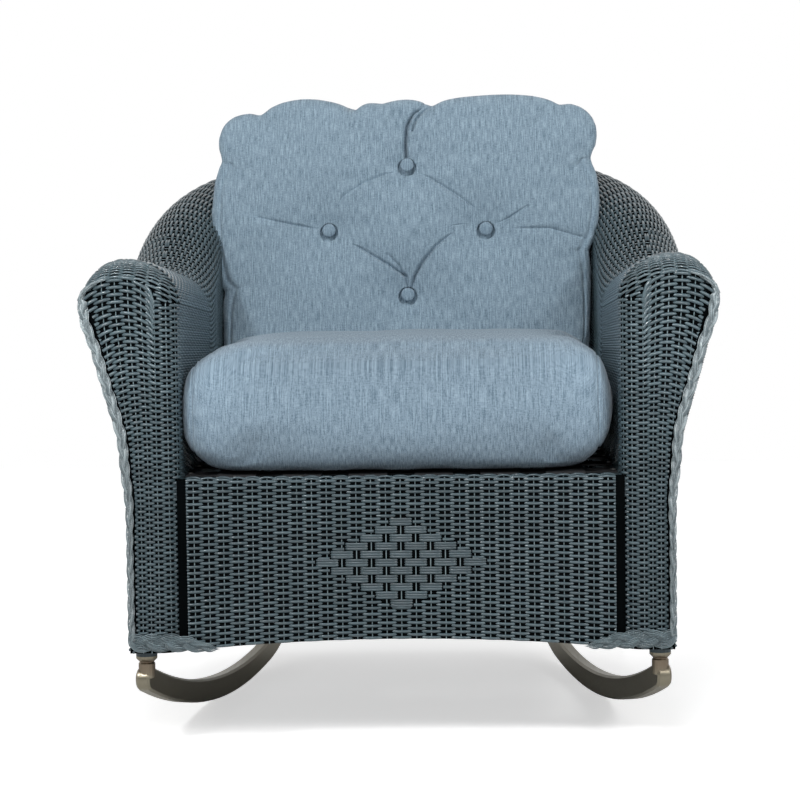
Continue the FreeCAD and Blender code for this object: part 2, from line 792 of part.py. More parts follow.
def apron_rod_line():
    depth = apron_setback + weave_thickness + tube_gap + rod_radius
    z = skirt_height + apron_lift + apron_arch + 2 * rod_radius
    return [at(-leg_x, depth, z), at(leg_x, depth, z)]


def well_plan(low, high):
    # the well between the walls as a block
    right = [at(well_reach, 0, low)] + [at(s.x, s.depth, low) for s in corner_stations]
    left = [V(-p.x, p.y, p.z) for p in right[::-1]]
    return Part.Face(polygon(right + left)).extrude(V(0, 0, high - low))


def well_end(x):
    over = max(abs(x) - corner_x, 0)
    return arm_length + math.sqrt(corner_round ** 2 - over ** 2)


def build_deck(rails):
    # webbing riveted to the rails: the cross straps lie on the side rails, the long ones over them
    t = strap_thickness
    front = apron_setback + apron_roll + apron_return + tube_gap
    inset = rivet_inset
    room = well_plan(rail_top - cut_overrun, rail_top + cut_overrun)
    places = []
    long_pieces = []
    pitch = (2 * well_reach - strap_width) / long_straps
    for i in range(long_straps):
        x = (i - (long_straps - 1) / 2) * pitch
        end = well_end(abs(x) + strap_width / 2)
        top = rail_top + t
        step = rail_size
        profile = [(front, rail_top), (front + 2 * inset, rail_top), (front + 2 * inset + step, top),
                   (end - 2 * inset - step, top), (end - 2 * inset, rail_top), (well_depth, rail_top)]
        low = [at(x - strap_width / 2, depth, z) for depth, z in profile]
        high = [p + V(0, 0, t) for p in low]
        strap = Part.Face(Part.makePolygon(low + high[::-1] + low[:1])).extrude(V(strap_width, 0, 0))
        long_pieces.append(strap.common(room))
        places = places + [at(x, front + inset, rail_top), at(x, end - inset, rail_top)]
    cross_pieces = []
    cross_start = front + 2 * inset + rail_size
    span = arm_length - cross_start - strap_width
    for i in range(cross_straps):
        depth = cross_start + strap_width / 2 + span * i / (cross_straps - 1)
        strap = Part.makeBox(2 * well_reach, strap_width, t)
        strap.translate(at(-well_reach, depth - strap_width / 2, rail_top))
        cross_pieces.append(strap)
        reach = well_reach - rivet_radius - tube_gap
        places = places + [at(-reach, depth, rail_top), at(reach, depth, rail_top)]
    deep = V(0, 0, rail_wall)
    shanks = [prism(p - deep, rivet_shank_radius, t + rail_wall, rivet_sides) for p in places]
    drill = Part.makeCompound(shanks)
    export("seat_straps_long", Part.makeCompound([strap.cut(drill) for strap in long_pieces]))
    export("seat_straps_cross", Part.makeCompound([strap.cut(drill) for strap in cross_pieces]))
    rivets = [rivet(p) for p in places]
    export("strap_rivets", Part.makeCompound(rivets))
    front_rail, side_rail, corner_rail, rear_rail = [rail.cut(drill) for rail in rails]
    export("seat_rail_front", front_rail)
    both_sides("seat_rail_side", side_rail)
    both_sides("seat_rail_corner", corner_rail)
    export("seat_rail_rear", rear_rail)


def prism(centre, radius, height, sides, way=V(0, 0, 1)):
    side = V(1, 0, 0)
    side = side - way * side.dot(way)
    side.normalize()
    ring = ring_round(centre, way, side, radius, sides)
    return skin([ring, [p + way * height for p in ring]])


def rivet(place):
    deep = V(0, 0, rail_wall)
    shank = prism(place - deep, rivet_shank_radius, strap_thickness + rail_wall, rivet_sides)
    head = prism(place + V(0, 0, strap_thickness), rivet_radius, rivet_height, rivet_sides)
    return shank.fuse(head)


def arc_points(*three):
    return Part.Arc(*three).toShape().discretize(arc_steps + 1)[:-1]


def cushion_ring(reach, low, high, z, corner, pull):
    # rounded rectangle whose sides are drawn in by pull between the corners, lying at height z
    c = corner
    k = c * (1 - math.sqrt(0.5))
    middle = (low + high) / 2
    arcs = [((-reach + c, low), (0, low + pull), (reach - c, low)),
            ((reach - c, low), (reach - k, low + k), (reach, low + c)),
            ((reach, low + c), (reach - pull, middle), (reach, high - c)),
            ((reach, high - c), (reach - k, high - k), (reach - c, high)),
            ((reach - c, high), (0, high - pull), (-reach + c, high)),
            ((-reach + c, high), (-reach + k, high - k), (-reach, high - c)),
            ((-reach, high - c), (-reach + pull, middle), (-reach, low + c)),
            ((-reach, low + c), (-reach + k, low + k), (-reach + c, low))]
    ring = []
    for arc in arcs:
        ring = ring + arc_points(*[at(x, seat_front + v, z) for x, v in arc])
    return ring


def seat_cushion():
    rest = deck_height + rest_gap
    reach = well_reach - cushion_gap
    rings = []
    for height_share, edge_share in seat_level_shares:
        inset = seat_edge * edge_share
        rings.append(cushion_ring(reach - inset, inset, seat_length - inset,
                                  rest + seat_height * height_share, seat_corner, seat_pull))
    for rise_share, edge_share, corner_share, pull_share in seat_crown_shares:
        inset = seat_edge * edge_share
        rings.append(cushion_ring(reach - inset, inset, seat_length - inset,
                                  rest + seat_height + seat_crown * rise_share,
                                  seat_corner * corner_share, seat_pull * pull_share))
    return skin(rings)


# Outline of the back cushion from its lower left corner round to its lower right one. Each row is a place
# as shares of the reach and the height, and the share of the scallop by which the edge swells up to it.
back_outline_shares = [(-1.0, 0.12, 0.0), (-1.0, 0.45, 0.7), (-1.05, 0.8, 1.0), (-0.84, 0.96, 2.6),
                       (-0.3, 0.972, 0.9), (0.14, 0.982, 0.9), (0.86, 0.97, 1.0), (1.06, 0.8, 2.6),
                       (1.0, 0.46, 1.0), (1.0, 0.12, 0.7), (0.88, 0.0, 1.2), (-0.88, 0.0, -0.2)]
foot_swell_share = 1.2    # how much more the last edge swells than the first
# From the rear face forwards: share of the thickness, share of the reach, share of the edge drawn in
back_level_shares = [(0.0, 0.38, 0.85), (0.08, 0.53, 0.35), (0.21, 0.65, 0.1), (0.41, 0.77, 0.0),
                     (0.63, 0.87, 0.0), (0.85, 0.96, 0.0), (0.953, 0.95, 0.25), (1.0, 0.88, 1.0)]
# The crown over the front face: share of the crown, share of the reach, share of the edge drawn in
crown_level_shares = [(0.45, 0.76, 2.0), (0.85, 0.5, 3.8), (1.0, 0.25, 5.6)]


def on_back(x, forward, height):
    # forward is measured from the rear face of the back cushion, height along its lean from the deck
    slope = back_lean / (back_height - rail_top)
    return at(x, well_depth - cushion_gap - forward + slope * height, deck_height + rest_gap + height)


def back_ring(forward, reach_share, inset):
    height_scale = 1 - 2 * inset / back_cushion_height
    rows = []
    for x_share, h_share, swell in back_outline_shares:
        x = x_share * back_cushion_reach * reach_share
        h = (0.5 + (h_share - 0.5) * height_scale) * back_cushion_height
        rows.append((x, h, swell * scallop))
    ring = []
    for i, (x, h, unused) in enumerate(rows):
        next_x, next_h, swell = rows[(i + 1) % len(rows)]
        if i == len(rows) - 1:
            swell = rows[0][2] + scallop * foot_swell_share
        run_x = next_x - x
        run_h = next_h - h
        run = math.hypot(run_x, run_h)
        middle = ((x + next_x) / 2 - run_h / run * swell, (h + next_h) / 2 + run_x / run * swell)
        ring = ring + arc_points(on_back(x, forward, h), on_back(middle[0], forward, middle[1]),
                                 on_back(next_x, forward, next_h))
    return ring


def back_cushion():
    rings = [back_ring(back_thickness * t, reach, panel_edge * edge) for t, reach, edge in back_level_shares]
    rings = rings + [back_ring(back_thickness + back_crown * t, reach, panel_edge * edge)
                     for t, reach, edge in crown_level_shares]
    return skin(rings)


def button_places():
    h = button_centre_height
    return [(0, h + button_rise), (-button_span, h), (button_span, h), (0, h - button_rise)]


def facing():
    slope = back_lean / (back_height - rail_top)
    way = V(0, -1, slope)
    way.normalize()
    return way


def dimple(place, forward, depth, way):
    # bowl cut from a ball that sinks a tuft of the named radius to the named depth
    ball = (tuft_radius ** 2 + depth ** 2) / (2 * depth)
    centre = on_back(place[0], forward, place[1])
    rings = []
    for share in tuft_ring_shares:
        radius = tuft_radius * share
        lift = ball - depth - math.sqrt(ball ** 2 - radius ** 2)
        rings.append(ring_round(centre + way * lift, way, V(1, 0, 0), radius, tuft_sides))
    return skin(rings)


def button(seat, way, height):
    rings = []
    for wide_share, high_share in button_profile_shares:
        centre = seat + way * (height * high_share)
        rings.append(ring_round(centre, way, V(1, 0, 0), button_radius * wide_share, tuft_sides))
    return skin(rings)


def build_back_cushion():
    front = back_thickness + back_crown
    way = facing()
    body = back_cushion()
    buttons = []
    rear_buttons = []
    ties = []
    for place in button_places():
        body = body.cut(dimple(place, front, tuft_depth, way))
        body = body.cut(dimple(place, 0, rear_tuft_depth, way * -1))
        front_seat = on_back(place[0], front, place[1]) - way * (tuft_depth - button_lift)
        rear_seat = on_back(place[0], 0, place[1]) + way * (rear_tuft_depth - button_lift)
        shaft = front_seat - rear_seat
        tie = prism(rear_seat, tie_radius, shaft.Length, rivet_sides, way)
        body = body.cut(tie)
        buttons.append(button(front_seat, way, button_height))
        rear_buttons.append(button(rear_seat, way * -1, button_height / 2))
        ties.append(tie.cut(buttons[-1]).cut(rear_buttons[-1]))
    export("back_cushion", body)
    export("tuft_buttons", Part.makeCompound(buttons))
    export("rear_tuft_buttons", Part.makeCompound(rear_buttons))
    export("tuft_ties", Part.makeCompound(ties))


os.makedirs("parts", exist_ok=True)
build_weave()
build_trim()
build_deck(build_frame())
export("seat_cushion", seat_cushion())
build_back_cushion()
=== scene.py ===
# %% [markdown]
# An outdoor lounge rocker: a woven shell with rolled arms and a round back, two loose cushions, and two bent
# metal runners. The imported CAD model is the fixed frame, in metres, and every piece made here lies on it.

# %% Load the frame
import bmesh
import bpy
import json
import math
import numpy as np
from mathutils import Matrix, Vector


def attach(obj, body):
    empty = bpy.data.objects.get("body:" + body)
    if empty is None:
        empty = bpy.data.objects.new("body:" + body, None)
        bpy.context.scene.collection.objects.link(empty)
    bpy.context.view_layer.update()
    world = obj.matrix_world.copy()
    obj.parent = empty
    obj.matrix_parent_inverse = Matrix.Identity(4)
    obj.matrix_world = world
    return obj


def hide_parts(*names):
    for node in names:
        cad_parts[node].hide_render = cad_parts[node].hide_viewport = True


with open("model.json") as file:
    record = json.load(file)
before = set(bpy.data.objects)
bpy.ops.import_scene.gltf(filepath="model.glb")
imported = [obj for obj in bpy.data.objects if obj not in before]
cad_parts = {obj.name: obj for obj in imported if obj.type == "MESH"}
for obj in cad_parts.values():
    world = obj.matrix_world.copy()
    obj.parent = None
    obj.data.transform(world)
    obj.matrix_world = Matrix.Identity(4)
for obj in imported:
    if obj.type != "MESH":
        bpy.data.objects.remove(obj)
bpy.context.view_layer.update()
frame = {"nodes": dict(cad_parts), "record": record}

# %% [markdown]
# The camera comes first, because it decides what can be compared with the photograph. It stands three metres
# in front of the arms with a long lens, a little above them. That distance is an assumption: the arc of the
# runner in the photograph fits about as well from two to five metres. A small tilt down frames the chair.

# %% Camera
photo_pixels = 800
focal_pixels = 2348.7


def new_object(name, data):
    made = bpy.data.objects.new(name, data)
    bpy.context.scene.collection.objects.link(made)
    return made


camera_data = bpy.data.cameras.new("photo_camera")
camera_data.sensor_width = 36
camera_data.lens = focal_pixels / photo_pixels * camera_data.sensor_width
camera = new_object("photo_camera", camera_data)
camera.location = (0.0867, -3.4285, 0.6447)
camera.rotation_euler = (math.radians(90 - 3.67), math.radians(0.73), math.radians(1.578))
bpy.context.scene.camera = camera
print("lens", round(camera_data.lens, 1), "mm")

# %% [markdown]
# The chair stands in a white room. A wide floor keeps its soft shadow, and the camera alone sees the floor
# and the sky a little brighter than they light the chair, so the picture's ground is white while colours on
# the chair stay about as they are written. A white panel behind the chair shows in mirrored light only, where
# it stands for the room's far wall. Four soft lamps light the whole, and a narrow one over each arm gives the
# strands of its rolled front their highlights.

# %% Floor, sky and lamps
white = (1, 1, 1, 1)
reach = 3.6
panel_half, panel_height = 7, 6
floor_glow, sky_light, sky_seen, mirrored_share = 0.56, 0.42, 1.0, -0.1


def fill_inputs(tree, node, inputs):
    # each input is linked to a socket or set to a value
    for key, value in inputs.items():
        if isinstance(value, bpy.types.NodeSocket):
            tree.links.new(value, node.inputs[key])
        else:
            node.inputs[key].default_value = value


def new_node(tree, kind, inputs=None, **settings):
    node = tree.nodes.new(kind)
    for key, value in settings.items():
        setattr(node, key, value)
    fill_inputs(tree, node, inputs or {})
    return node


def new_material(name):
    material = bpy.data.materials.new(name)
    material.use_nodes = True
    return material, material.node_tree, material.node_tree.nodes["Principled BSDF"]


def linear(red, green, blue, share=1.0):
    # a colour as a picture shows it, 0 to 255, in the linear values that a shader wants
    shares = [value / 255 for value in (red, green, blue)]
    return [share * (s / 12.92 if s <= 0.04045 else ((s + 0.055) / 1.055) ** 2.4) for s in shares] + [1.0]


def panel(name, corners, paint):
    mesh = bpy.data.meshes.new(name)
    mesh.from_pydata(corners, [], [(0, 1, 2, 3)])
    mesh.materials.append(paint)
    return new_object(name, mesh)


floor_paint, tree, shader = new_material("floor_paint")
camera_ray = new_node(tree, "ShaderNodeLightPath").outputs["Is Camera Ray"]
lift = new_node(tree, "ShaderNodeMath", {0: camera_ray, 1: floor_glow}, operation="MULTIPLY")
fill_inputs(tree, shader, {"Base Color": (0.85, 0.85, 0.85, 1), "Roughness": 0.9, "Specular IOR Level": 0.1,
                           "Emission Color": white, "Emission Strength": lift.outputs[0]})
floor = panel("studio_floor", [(-reach, -reach, 0), (reach, -reach, 0), (reach, reach, 0),
                               (-reach, reach, 0)], floor_paint)

sky = bpy.data.worlds.new("studio_sky")
sky.use_nodes = True
bpy.context.scene.world = sky
tree = sky.node_tree
ray = new_node(tree, "ShaderNodeLightPath").outputs
strength = new_node(tree, "ShaderNodeMapRange",
                    {"Value": ray["Is Camera Ray"], "To Min": sky_light, "To Max": sky_seen})
mirrored_sky = new_node(tree, "ShaderNodeMath", {0: ray["Is Glossy Ray"], 1: mirrored_share,
                                                 2: strength.outputs["Result"]}, operation="MULTIPLY_ADD")
fill_inputs(tree, tree.nodes["Background"], {"Color": white, "Strength": mirrored_sky.outputs[0]})

backdrop_light, tree, shader = new_material("backdrop_light")
fill_inputs(tree, shader, {"Base Color": (0, 0, 0, 1), "Roughness": 1.0, "Specular IOR Level": 0.0,
                           "Emission Color": white, "Emission Strength": 1.0})
backdrop = panel("studio_backdrop", [(-panel_half, reach, 0), (panel_half, reach, 0),
                                     (panel_half, reach, panel_height), (-panel_half, reach, panel_height)],
                 backdrop_light)
for kind in ("camera", "diffuse", "shadow", "transmission"):
    setattr(backdrop, "visible_" + kind, False)


def lamp(name, kind, place, target, watts, **settings):
    data = bpy.data.lights.new(name, kind)
    data.energy = watts
    for key, value in settings.items():
        setattr(data, key, value)
    made = new_object(name, data)
    made.location = place
    made.rotation_euler = (Vector(target) - Vector(place)).to_track_quat("-Z", "Y").to_euler()


chair_middle = (0, 0, 0.45)
for name, place, size, watts in (("key_lamp", (-1.9, -2.6, 2.6), 0.6, 50),
                                 ("fill_lamp", (2.3, -2.4, 1.9), 0.8, 33),
                                 ("front_lamp", (-0.1, -3.0, 2.7), 0.8, 30),
                                 ("top_lamp", (0.2, 1.2, 3.2), 1.6, 7)):
    lamp(name, "AREA", place, chair_middle, watts, shape="DISK", size=size)
for side in (-1, 1):
    lamp("arm_lamp", "SPOT", (side * 0.55, -1.9, 1.35), (side * 0.35, -0.42, 0.57), 60,
         spot_size=math.radians(13), spot_blend=1.0, shadow_soft_size=0.05)
bpy.context.scene.view_settings.view_transform = "Standard"

# %% [markdown]
# The woven sheets follow the same rule as the CAD solids. A station is a place along the edge of the well,
# counted in columns of the weave: 31 along an arm, 18 round a rear corner and 16 across the back. At each
# station the wall's section is an inner wall, a rolled crest of two curves and a flaring outer wall.

# %% Sizes of the shell, and its stations
front_y = -0.4285
well_reach, foot_reach = 0.283, 0.353
skirt_height, knee_height, rail_top = 0.127, 0.300, 0.350
arm_height, arm_fall, back_height = 0.640, 0.030, 0.816
arm_length, corner_round = 0.520, 0.140
back_lean, skirt_back_flare = 0.084, 0.046
crest_reach, crest_rise, roll_reach, roll_drop = 0.074, 0.060, 0.052, 0.056
rise_start = 0.380
front_round, front_drop, front_corner = 0.065, 0.026, 0.030
crest_line = crest_reach + roll_reach
corner_x = well_reach - corner_round
well_depth = arm_length + corner_round
crest_path = corner_round + crest_reach
arm_columns, corner_columns, back_columns = 31, 18, 16
corner_end = arm_columns + corner_columns
column = arm_length / arm_columns


def smooth(value, low, high):
    share = np.clip((value - low) / (high - low), 0, 1)
    return share * share * (3 - 2 * share)


def crest_height(path):
    whole = arm_length + crest_path * math.pi / 2 + corner_x
    low = arm_height - arm_fall * np.minimum(path, arm_length) / arm_length
    share = np.maximum((path - rise_start) / (whole - rise_start), 0)
    soft = (np.sqrt(share ** 2 + 0.01) - 0.1) / (math.sqrt(1.01) - 0.1)
    return low + (back_height - low) * (1 - (1 - np.minimum(soft, 1)) ** 1.9)


def station(u):
    # place of the inner wall's foot, the way outwards, lean, skirt, crest and the round front corner's inset
    u = np.asarray(u, float)
    depth = arm_length * np.minimum(u, arm_columns) / arm_columns
    turn = np.clip((u - arm_columns) / corner_columns, 0, 1)
    angle = turn * math.pi / 2
    past = np.maximum(u - corner_end, 0) / back_columns
    x = corner_x + corner_round * np.cos(angle) - 2 * corner_x * past
    along = depth + corner_round * np.sin(angle)
    path = depth + crest_path * angle + corner_x - np.abs(corner_x - 2 * corner_x * past)
    soft = turn ** 2 * (3 - 2 * turn)
    level = crest_height(path)
    crest = level - front_drop * np.clip(1 - depth / front_round, 0, 1) ** 2.5
    away = np.clip(front_corner - depth, 0, front_corner)
    return {"x": x, "depth": along, "out_x": np.cos(angle), "out_depth": np.sin(angle),
            "lean": back_lean * soft / (back_height - rail_top),
            "skirt": foot_reach - well_reach + skirt_back_flare * soft, "crest": crest,
            "edge": level - crest_rise, "roll": level - roll_drop,
            "inset": front_corner - np.sqrt(front_corner ** 2 - away ** 2)}


def on_station(st, s, z, leaning=True):
    # a point s outwards from the inner wall's foot at height z
    if leaning:
        s = s + st["lean"] * (z - rail_top)
    return np.stack([st["x"] + st["out_x"] * s, front_y + st["depth"] + st["out_depth"] * s, z + 0 * s], -1)


def cubic(poles, t):
    rest = 1 - t
    return (poles[0] * rest ** 3 + 3 * poles[1] * t * rest ** 2 + 3 * poles[2] * t ** 2 * rest
            + poles[3] * t ** 3)


print("crest", [round(float(h), 3) for h in station([0, 4, 31, 40, 57])["crest"]])

# %% [markdown]
# Each sheet is a function of two numbers: the column u and a share v across the wall. Evenly spaced rows of
# strands need even steps of length, so the share is first turned into the curve's own parameter with a short
# table of lengths, worked out once.

# %% The sheets of the shell
def even_table(curve):
    t = np.linspace(0, 1, 201)
    points = np.stack(curve(t), -1)
    run = np.concatenate([[0], np.cumsum(np.linalg.norm(np.diff(points, axis=0), axis=1))])
    return run / run[-1], t, run[-1]


def section(poles_s, poles_z):
    return lambda t: (cubic(poles_s, t), cubic(poles_z, t))


in_table = even_table(section([0, 0, 0.38 * crest_reach, crest_reach],
                              [-crest_rise, -0.45 * crest_rise, 0, 0]))
out_table = even_table(section([0, 0.62 * roll_reach, roll_reach, roll_reach],
                               [0, 0, -0.55 * roll_drop, -roll_drop]))
flare_table = even_table(section([0.043, 0.030, 0, 0], [0.28, 0.199, 0.101, 0]))


def inner_sheet(u, v):
    st = station(u)
    return on_station(st, 0 * v, rail_top + v * (st["edge"] - rail_top))


def crest_sheet(u, v):
    st = station(u)
    t_in = np.interp(np.clip(2 * v, 0, 1), in_table[0], in_table[1])
    t_out = np.interp(np.clip(2 * v - 1, 0, 1), out_table[0], out_table[1])
    top = st["crest"]
    start = st["inset"]
    reach = crest_reach - start
    s_in = cubic([start, start, crest_reach - 0.62 * reach, crest_reach], t_in)
    edge, roll = st["edge"], st["roll"]
    z_in = cubic([edge, edge + 0.55 * (top - edge), top, top], t_in)
    s_out = cubic([crest_reach, crest_reach + 0.62 * roll_reach, crest_line, crest_line], t_out)
    z_out = cubic([top, top, roll + 0.45 * (top - roll), roll], t_out)
    return on_station(st, np.where(v < 0.5, s_in, s_out), np.where(v < 0.5, z_in, z_out))


def outer_sheet(u, v):
    # v runs from the roll down to the skirt
    st = station(u)
    roll = st["roll"]
    fall = roll - knee_height
    shift = st["lean"] * (roll - rail_top)
    flare_share = 1.02 * fall / (1.02 * fall + knee_height - skirt_height)
    t = np.interp(np.clip(v / flare_share, 0, 1), flare_table[0], flare_table[1])
    start = crest_line + shift
    s = cubic([start, start - st["lean"] * 0.29 * fall, st["skirt"], st["skirt"]], t)
    z = cubic([roll, roll - 0.29 * fall, knee_height + 0.36 * fall, knee_height], t)
    below = np.clip((v - flare_share) / (1 - flare_share), 0, 1)
    drawn_in = 0.007 * smooth(z, 0.35, 0.42) * (1 - smooth(z, 0.51, 0.565))
    s = s - drawn_in * np.clip(1 - st["depth"] / 0.06, 0, 1) ** 1.5
    return on_station(st, s, z - below * (knee_height - skirt_height), leaning=False)


def sheet_normal(sheet, u, v, face):
    step = 1e-3
    across = sheet(u, np.minimum(v + step, 1)) - sheet(u, np.maximum(v - step, 0))
    along = sheet(u + step, v) - sheet(np.maximum(u - step, 0), v)
    normal = np.cross(along, across) * face
    return normal / np.maximum(np.linalg.norm(normal, axis=-1, keepdims=True), 1e-9)


print("arc of the crest", round(in_table[2] + out_table[2], 3), "m")

# %% [markdown]
# In a plain weave each strand passes over one stake and behind the next, and its neighbours do the opposite.
# Only the middle line of each strand is written here, with three points to a column, the way it faces, how
# far it is lifted there, and its girth where rows crowd together. Nodes then make the strand itself.

# %% Guide lines for strands
strand_pitch = 0.0036
weft_depth = 0.0034
stake_depth = 0.0029
painted_shade_depth = 0.0024
stake_girth = 0.75


def over_under(count):
    # 1 over a stake at even counts, -1 behind one at odd counts, and longer over than behind
    wave = np.cos(math.pi * count)
    return wave + 0.4 * (1 - wave ** 2)


class Guides:
    def __init__(self, seed):
        self.points, self.ways, self.lifts, self.girths, self.tones, self.edges = [], [], [], [], [], []
        self.count = 0
        self.random = np.random.default_rng(seed)

    def add(self, points, ways, lifts, girths):
        n = len(points)
        self.points.append(points)
        self.ways.append(ways)
        self.lifts.append(np.broadcast_to(lifts, n))
        self.girths.append(np.broadcast_to(girths, n))
        self.tones.append(np.full(n, self.random.random()))
        first = self.count + np.arange(n - 1)
        self.edges.append(np.stack([first, first + 1], -1))
        self.count += n

    def mesh(self, name, mirrored=False):
        points = np.concatenate(self.points)
        ways = np.concatenate(self.ways)
        if mirrored:
            points = points * [-1, 1, 1]
            ways = ways * [-1, 1, 1]
        edges = np.concatenate(self.edges)
        mesh = bpy.data.meshes.new(name)
        mesh.vertices.add(len(points))
        mesh.vertices.foreach_set("co", points.ravel())
        mesh.edges.add(len(edges))
        mesh.edges.foreach_set("vertices", edges.ravel())
        mesh.attributes.new("way", "FLOAT_VECTOR", "POINT").data.foreach_set("vector", ways.ravel())
        for key, parts in (("lift", self.lifts), ("girth", self.girths), ("tone", self.tones)):
            mesh.attributes.new(key, "FLOAT", "POINT").data.foreach_set("value", np.concatenate(parts))
        mesh.update()
        return mesh


def add_rows(guides, sheet, face, start, end, shares, spacing, parity, girth=None, samples=3):
    # one strand for each share, running from column start to column end
    u = np.linspace(start, end, int(round((end - start) * samples)) + 1)
    for share, row in zip(shares, parity):
        v = np.full_like(u, share)
        points = sheet(u, v)
        ways = sheet_normal(sheet, u, v, face)
        stretch = sheet(u, np.minimum(v + 1e-3, 1)) - sheet(u, v - 1e-3)
        gap = np.linalg.norm(stretch, axis=-1) / 2e-3 * spacing
        size = np.clip(gap / strand_pitch, 0.5, 1.3) if girth is None else girth(u, gap)
        guides.add(points - ways * weft_depth, ways, over_under(u + row), size)


def add_stakes(guides, sheet, face, columns, low, high, steps):
    for column_place in columns:
        v = np.linspace(low, high, steps)
        u = np.full_like(v, column_place)
        ways = sheet_normal(sheet, u, v, face)
        guides.add(sheet(u, v) - ways * stake_depth, ways, 0.0, stake_girth)


print("rows every", strand_pitch * 1000, "mm")

# %% [markdown]
# Geometry Nodes turn the guide lines into strands: every point is moved along its way by the lift, the lines
# become curves, and a small oval is swept along them. One tree serves wefts, stakes, flat diamond strands and
# the cords of the braid, because only the sizes differ.

# %% The strand tree
def strand_tree():
    tree = bpy.data.node_groups.new("swept_strands", "GeometryNodeTree")
    face = tree.interface
    face.new_socket("Guides", in_out="INPUT", socket_type="NodeSocketGeometry")
    for name, kind in (("Lift", "Float"), ("Width", "Float"), ("Thickness", "Float"), ("Sides", "Int"),
                       ("Finish", "Material")):
        face.new_socket(name, in_out="INPUT", socket_type="NodeSocket" + kind)
    face.new_socket("Strands", in_out="OUTPUT", socket_type="NodeSocketGeometry")
    given = new_node(tree, "NodeGroupInput").outputs

    def attribute(name, kind):
        node = new_node(tree, "GeometryNodeInputNamedAttribute", {"Name": name}, data_type=kind)
        return node.outputs["Attribute"]

    way = attribute("way", "FLOAT_VECTOR")
    rise = new_node(tree, "ShaderNodeMath", {0: attribute("lift", "FLOAT"), 1: given["Lift"]},
                    operation="MULTIPLY")
    offset = new_node(tree, "ShaderNodeVectorMath", {0: way, "Scale": rise.outputs[0]}, operation="SCALE")
    place = new_node(tree, "GeometryNodeSetPosition",
                     {"Geometry": given["Guides"], "Offset": offset.outputs["Vector"]})
    curve = new_node(tree, "GeometryNodeMeshToCurve", {"Mesh": place.outputs["Geometry"]})
    normal = new_node(tree, "GeometryNodeSetCurveNormal", {"Curve": curve.outputs["Curve"], "Normal": way},
                      mode="FREE")
    ring = new_node(tree, "GeometryNodeCurvePrimitiveCircle", {"Radius": 0.5, "Resolution": given["Sides"]})
    scale = new_node(tree, "ShaderNodeCombineXYZ", {"X": given["Thickness"], "Y": given["Width"], "Z": 1})
    oval = new_node(tree, "GeometryNodeTransform",
                    {"Geometry": ring.outputs["Curve"], "Scale": scale.outputs["Vector"]})
    sweep = new_node(tree, "GeometryNodeCurveToMesh",
                     {"Curve": normal.outputs["Curve"], "Profile Curve": oval.outputs["Geometry"],
                      "Scale": attribute("girth", "FLOAT"), "Fill Caps": True})
    shade = new_node(tree, "GeometryNodeSetShadeSmooth", {"Geometry": sweep.outputs["Mesh"]})
    real = new_node(tree, "GeometryNodeRealizeInstances", {"Geometry": shade.outputs["Geometry"]})
    finish = new_node(tree, "GeometryNodeSetMaterial",
                      {"Geometry": real.outputs["Geometry"], "Material": given["Finish"]})
    new_node(tree, "NodeGroupOutput", {"Strands": finish.outputs["Geometry"]})
    return tree


swept_strands = strand_tree()


def sweep_guides(guide_mesh, **values):
    # run the tree on a guide mesh and return the result as a plain mesh
    holder = new_object("guide_holder", guide_mesh)
    modifier = holder.modifiers.new("strands", "NODES")
    modifier.node_group = swept_strands
    for item in swept_strands.interface.items_tree:
        if item.item_type == "SOCKET" and item.in_out == "INPUT" and item.name in values:
            modifier[item.identifier] = values[item.name]
    graph = bpy.context.evaluated_depsgraph_get()
    mesh = bpy.data.meshes.new_from_object(holder.evaluated_get(graph))
    bpy.data.objects.remove(holder)
    bpy.data.meshes.remove(guide_mesh)
    return mesh


def add_piece(name, meshes, body, nodes_replaced):
    # join plain meshes into one piece that rides on a body and stands for its CAD nodes
    piece = new_object(name, meshes[0])
    if len(meshes) > 1:
        others = [new_object(name + "_part", mesh) for mesh in meshes[1:]]
        with bpy.context.temp_override(active_object=piece, selected_editable_objects=[piece] + others):
            bpy.ops.object.join()
    piece.data.name = name
    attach(piece, body)
    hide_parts(*nodes_replaced)
    piece.data.calc_loop_triangles()
    print(name, len(piece.data.loop_triangles), "triangles")


print("strand tree with", len(swept_strands.nodes), "nodes")

# %% [markdown]
# The strands are extruded resin with a satin skin: slate blue grey, a little different from strand to strand,
# with fine drawn lines along them. The colour varies with the tone that each guide line carries, and a fine
# noise keeps the highlights from looking like glass. The braid's cords are paler.

# %% Strand finishes
def grain_group():
    # small changes of value and height over a surface, from object coordinates
    tree = bpy.data.node_groups.new("fine_grain", "ShaderNodeTree")
    face = tree.interface
    face.new_socket("Size", in_out="INPUT", socket_type="NodeSocketFloat")
    face.new_socket("Height", in_out="OUTPUT", socket_type="NodeSocketFloat")
    face.new_socket("Value", in_out="OUTPUT", socket_type="NodeSocketFloat")
    given = new_node(tree, "NodeGroupInput")
    place = new_node(tree, "ShaderNodeTexCoord").outputs["Object"]
    size = given.outputs["Size"]
    fine = new_node(tree, "ShaderNodeTexNoise", {"Vector": place, "Scale": size, "Detail": 3})
    wide = new_node(tree, "ShaderNodeTexNoise", {"Vector": place, "Scale": 14})
    new_node(tree, "NodeGroupOutput", {"Height": fine.outputs["Fac"], "Value": wide.outputs["Fac"]})
    return tree


fine_grain = grain_group()


def grain(tree, size=1.0):
    return new_node(tree, "ShaderNodeGroup", {"Size": size}, node_tree=fine_grain).outputs


def colour_mix(tree, share, first, second):
    node = new_node(tree, "ShaderNodeMix", {"Factor": share, "A": first, "B": second}, data_type="RGBA")
    return node.outputs["Result"]


def ranged(tree, value, low, high):
    node = new_node(tree, "ShaderNodeMapRange", {"Value": value, "To Min": low, "To Max": high})
    return node.outputs["Result"]


def bumps(tree, height, strength, distance):
    node = new_node(tree, "ShaderNodeBump", {"Height": height, "Strength": strength, "Distance": distance})
    return node.outputs["Normal"]


